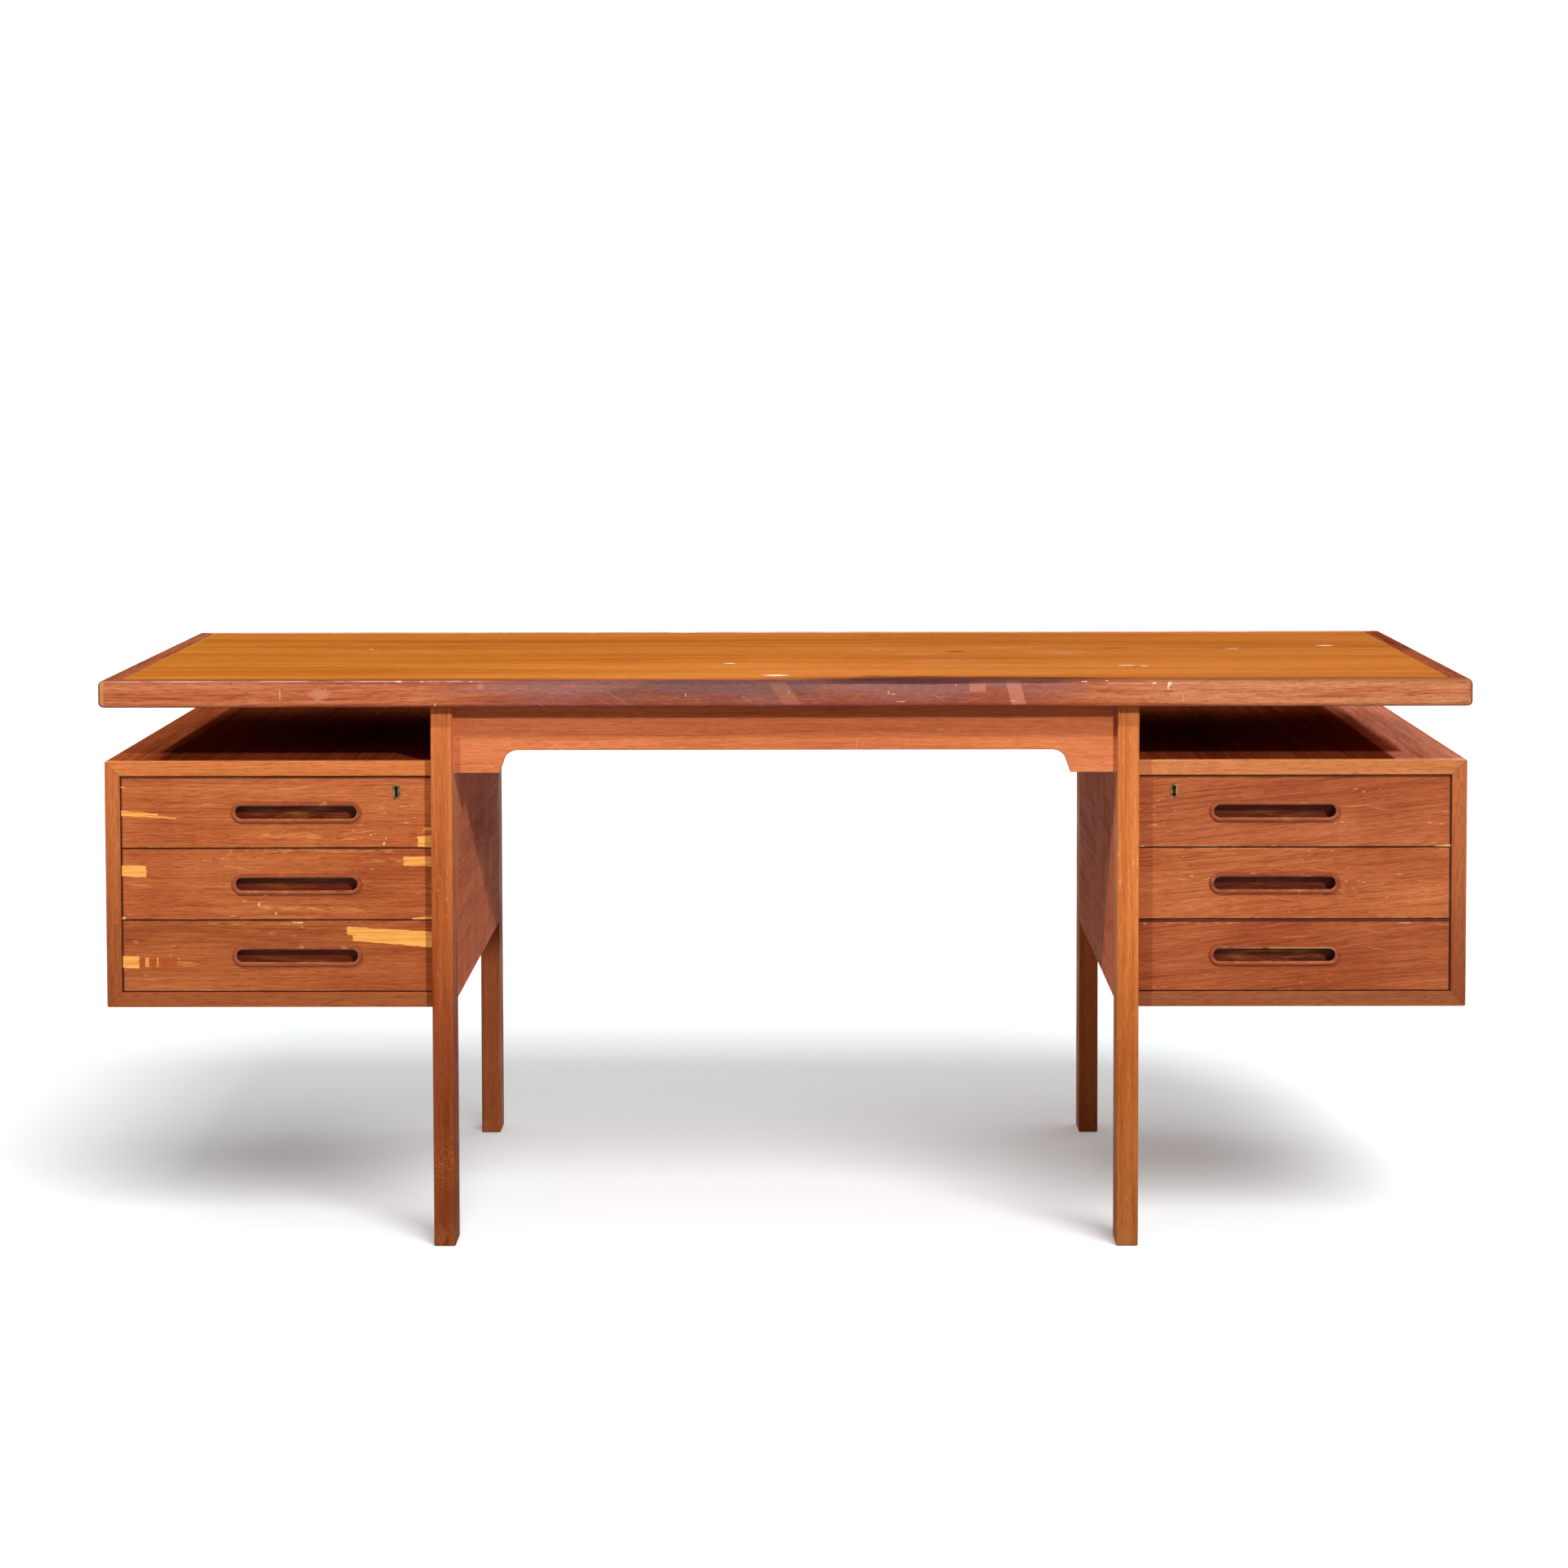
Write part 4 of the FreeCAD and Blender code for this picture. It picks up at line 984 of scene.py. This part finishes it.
def dress_pedestal(side, seed):
    for index, board in enumerate(("case_top_", "case_side_", "case_bottom_")):
        dress(board + side, case_board(board + side, seed + 1.7 * index))
    dress("case_edging_" + side, case_edging(side, seed + 7))
    dress("case_partition_" + side, plain_wood("case_partition_" + side, veneer, "Z", seed + 8))
    dress("niche_shelf_" + side, plain_wood("niche_shelf_" + side, veneer, "X", seed + 9))
    dress("drawer_runners_" + side, plain_wood("drawer_runners_" + side, beech, "Y", seed + 10))
    for index, level in enumerate(levels):
        name = side + "_" + level
        dress("drawer_front_" + name, drawer_front(name, seed + 11.3 + 1.9 * index))
        dress("drawer_pull_" + name, drawer_pull(name, seed + 17.1 + 2.3 * index))
        dress("drawer_box_" + name, drawer_box(name, seed + 24.7 + 1.1 * index))
    dress("keyhole_thimble_" + side, metal("keyhole_thimble_" + side, *thimble_brass))
    dress("lock_case_" + side, metal("lock_case_" + side, *lock_iron))
    dress("lock_bolt_" + side, metal("lock_bolt_" + side, *bolt_steel))


# Stage


def add_camera():
    """The photograph's view."""
    data = bpy.data.cameras.new("camera")
    data.lens = camera_lens
    data.shift_y = camera_shift
    camera = bpy.data.objects.new("camera", data)
    bpy.context.scene.collection.objects.link(camera)
    turn = Matrix.Rotation(math.radians(camera_yaw), 4, "Z")
    tilt = Matrix.Rotation(math.radians(90 - camera_pitch), 4, "X")
    roll = Matrix.Rotation(math.radians(camera_roll), 4, "Z")
    camera.matrix_world = Matrix.Translation(camera_place) @ turn @ tilt @ roll
    bpy.context.scene.camera = camera


def add_lamps(lamps, group_name, lit):
    """Lamps that light only the given objects. All objects still cast their shadows."""
    group = bpy.data.collections.new(group_name)
    for item in lit:
        group.objects.link(item)
    for name, (direction, brightness, width) in lamps.items():
        data = bpy.data.lights.new(name, "SUN")
        data.energy = brightness * math.pi
        data.angle = math.radians(width)
        lamp = bpy.data.objects.new(name, data)
        lamp.rotation_mode = "QUATERNION"
        lamp.rotation_quaternion = Vector(direction).to_track_quat("Z", "Y")
        lamp.light_linking.receiver_collection = group
        bpy.context.scene.collection.objects.link(lamp)


def seen_directly(tree):
    """1 for rays that show the background: from the camera, off a mirror or through glass."""
    path = tree.nodes.new("ShaderNodeLightPath")
    total = path.outputs["Is Camera Ray"]
    for name in ("Is Glossy Ray", "Is Transmission Ray"):
        larger = tree.nodes.new("ShaderNodeMath")
        larger.operation = "MAXIMUM"
        tree.links.new(total, larger.inputs[0])
        tree.links.new(path.outputs[name], larger.inputs[1])
        total = larger.outputs[0]
    return total


def add_world():
    """A white background that lights the desk only a little."""
    world = bpy.data.worlds.new("studio")
    world.use_nodes = True
    tree = world.node_tree
    tree.nodes.clear()
    strength = tree.nodes.new("ShaderNodeMapRange")
    strength.inputs["To Min"].default_value = world_fill
    strength.inputs["To Max"].default_value = background
    tree.links.new(seen_directly(tree), strength.inputs["Value"])
    sky = tree.nodes.new("ShaderNodeBackground")
    sky.inputs["Color"].default_value = (1, 1, 1, 1)
    tree.links.new(strength.outputs[0], sky.inputs["Strength"])
    output = tree.nodes.new("ShaderNodeOutputWorld")
    tree.links.new(sky.outputs[0], output.inputs["Surface"])
    bpy.context.scene.world = world


def floor_material():
    """White that keeps the shadow, and throws little light back at the desk."""
    material = bpy.data.materials.new("floor_white")
    material.use_nodes = True
    tree = material.node_tree
    tree.nodes.clear()
    seen = seen_directly(tree)
    matt = {}
    for name, shade in (("seen", floor_seen), ("bounce", floor_bounce)):
        matt[name] = tree.nodes.new("ShaderNodeBsdfDiffuse")
        matt[name].inputs["Color"].default_value = shade
    glow = tree.nodes.new("ShaderNodeEmission")
    glow.inputs["Strength"].default_value = floor_glow
    lit = tree.nodes.new("ShaderNodeAddShader")
    tree.links.new(matt["seen"].outputs[0], lit.inputs[0])
    tree.links.new(glow.outputs[0], lit.inputs[1])
    mixed = tree.nodes.new("ShaderNodeMixShader")
    tree.links.new(seen, mixed.inputs[0])
    tree.links.new(matt["bounce"].outputs[0], mixed.inputs[1])
    tree.links.new(lit.outputs[0], mixed.inputs[2])
    output = tree.nodes.new("ShaderNodeOutputMaterial")
    tree.links.new(mixed.outputs[0], output.inputs["Surface"])
    return material


def add_floor():
    half = floor_size / 2
    corners = [(-half, -half, 0), (half, -half, 0), (half, half, 0), (-half, half, 0)]
    mesh = bpy.data.meshes.new("floor")
    mesh.from_pydata(corners, [], [(0, 1, 2, 3)])
    floor = bpy.data.objects.new("floor", mesh)
    bpy.context.scene.collection.objects.link(floor)
    mesh.materials.append(floor_material())
    return floor


dress_top()
dress_frame()
dress_pedestal("left", 40.0)
dress_pedestal("right", 80.0)
add_camera()
add_lamps(desk_lamps, "desk_pieces", [node for node in nodes.values() if node.type == "MESH"])
add_lamps(floor_lamps, "floor_only", [add_floor()])
add_world()

scene = bpy.context.scene
scene.view_settings.view_transform = "Standard"
bpy.context.view_layer.update()
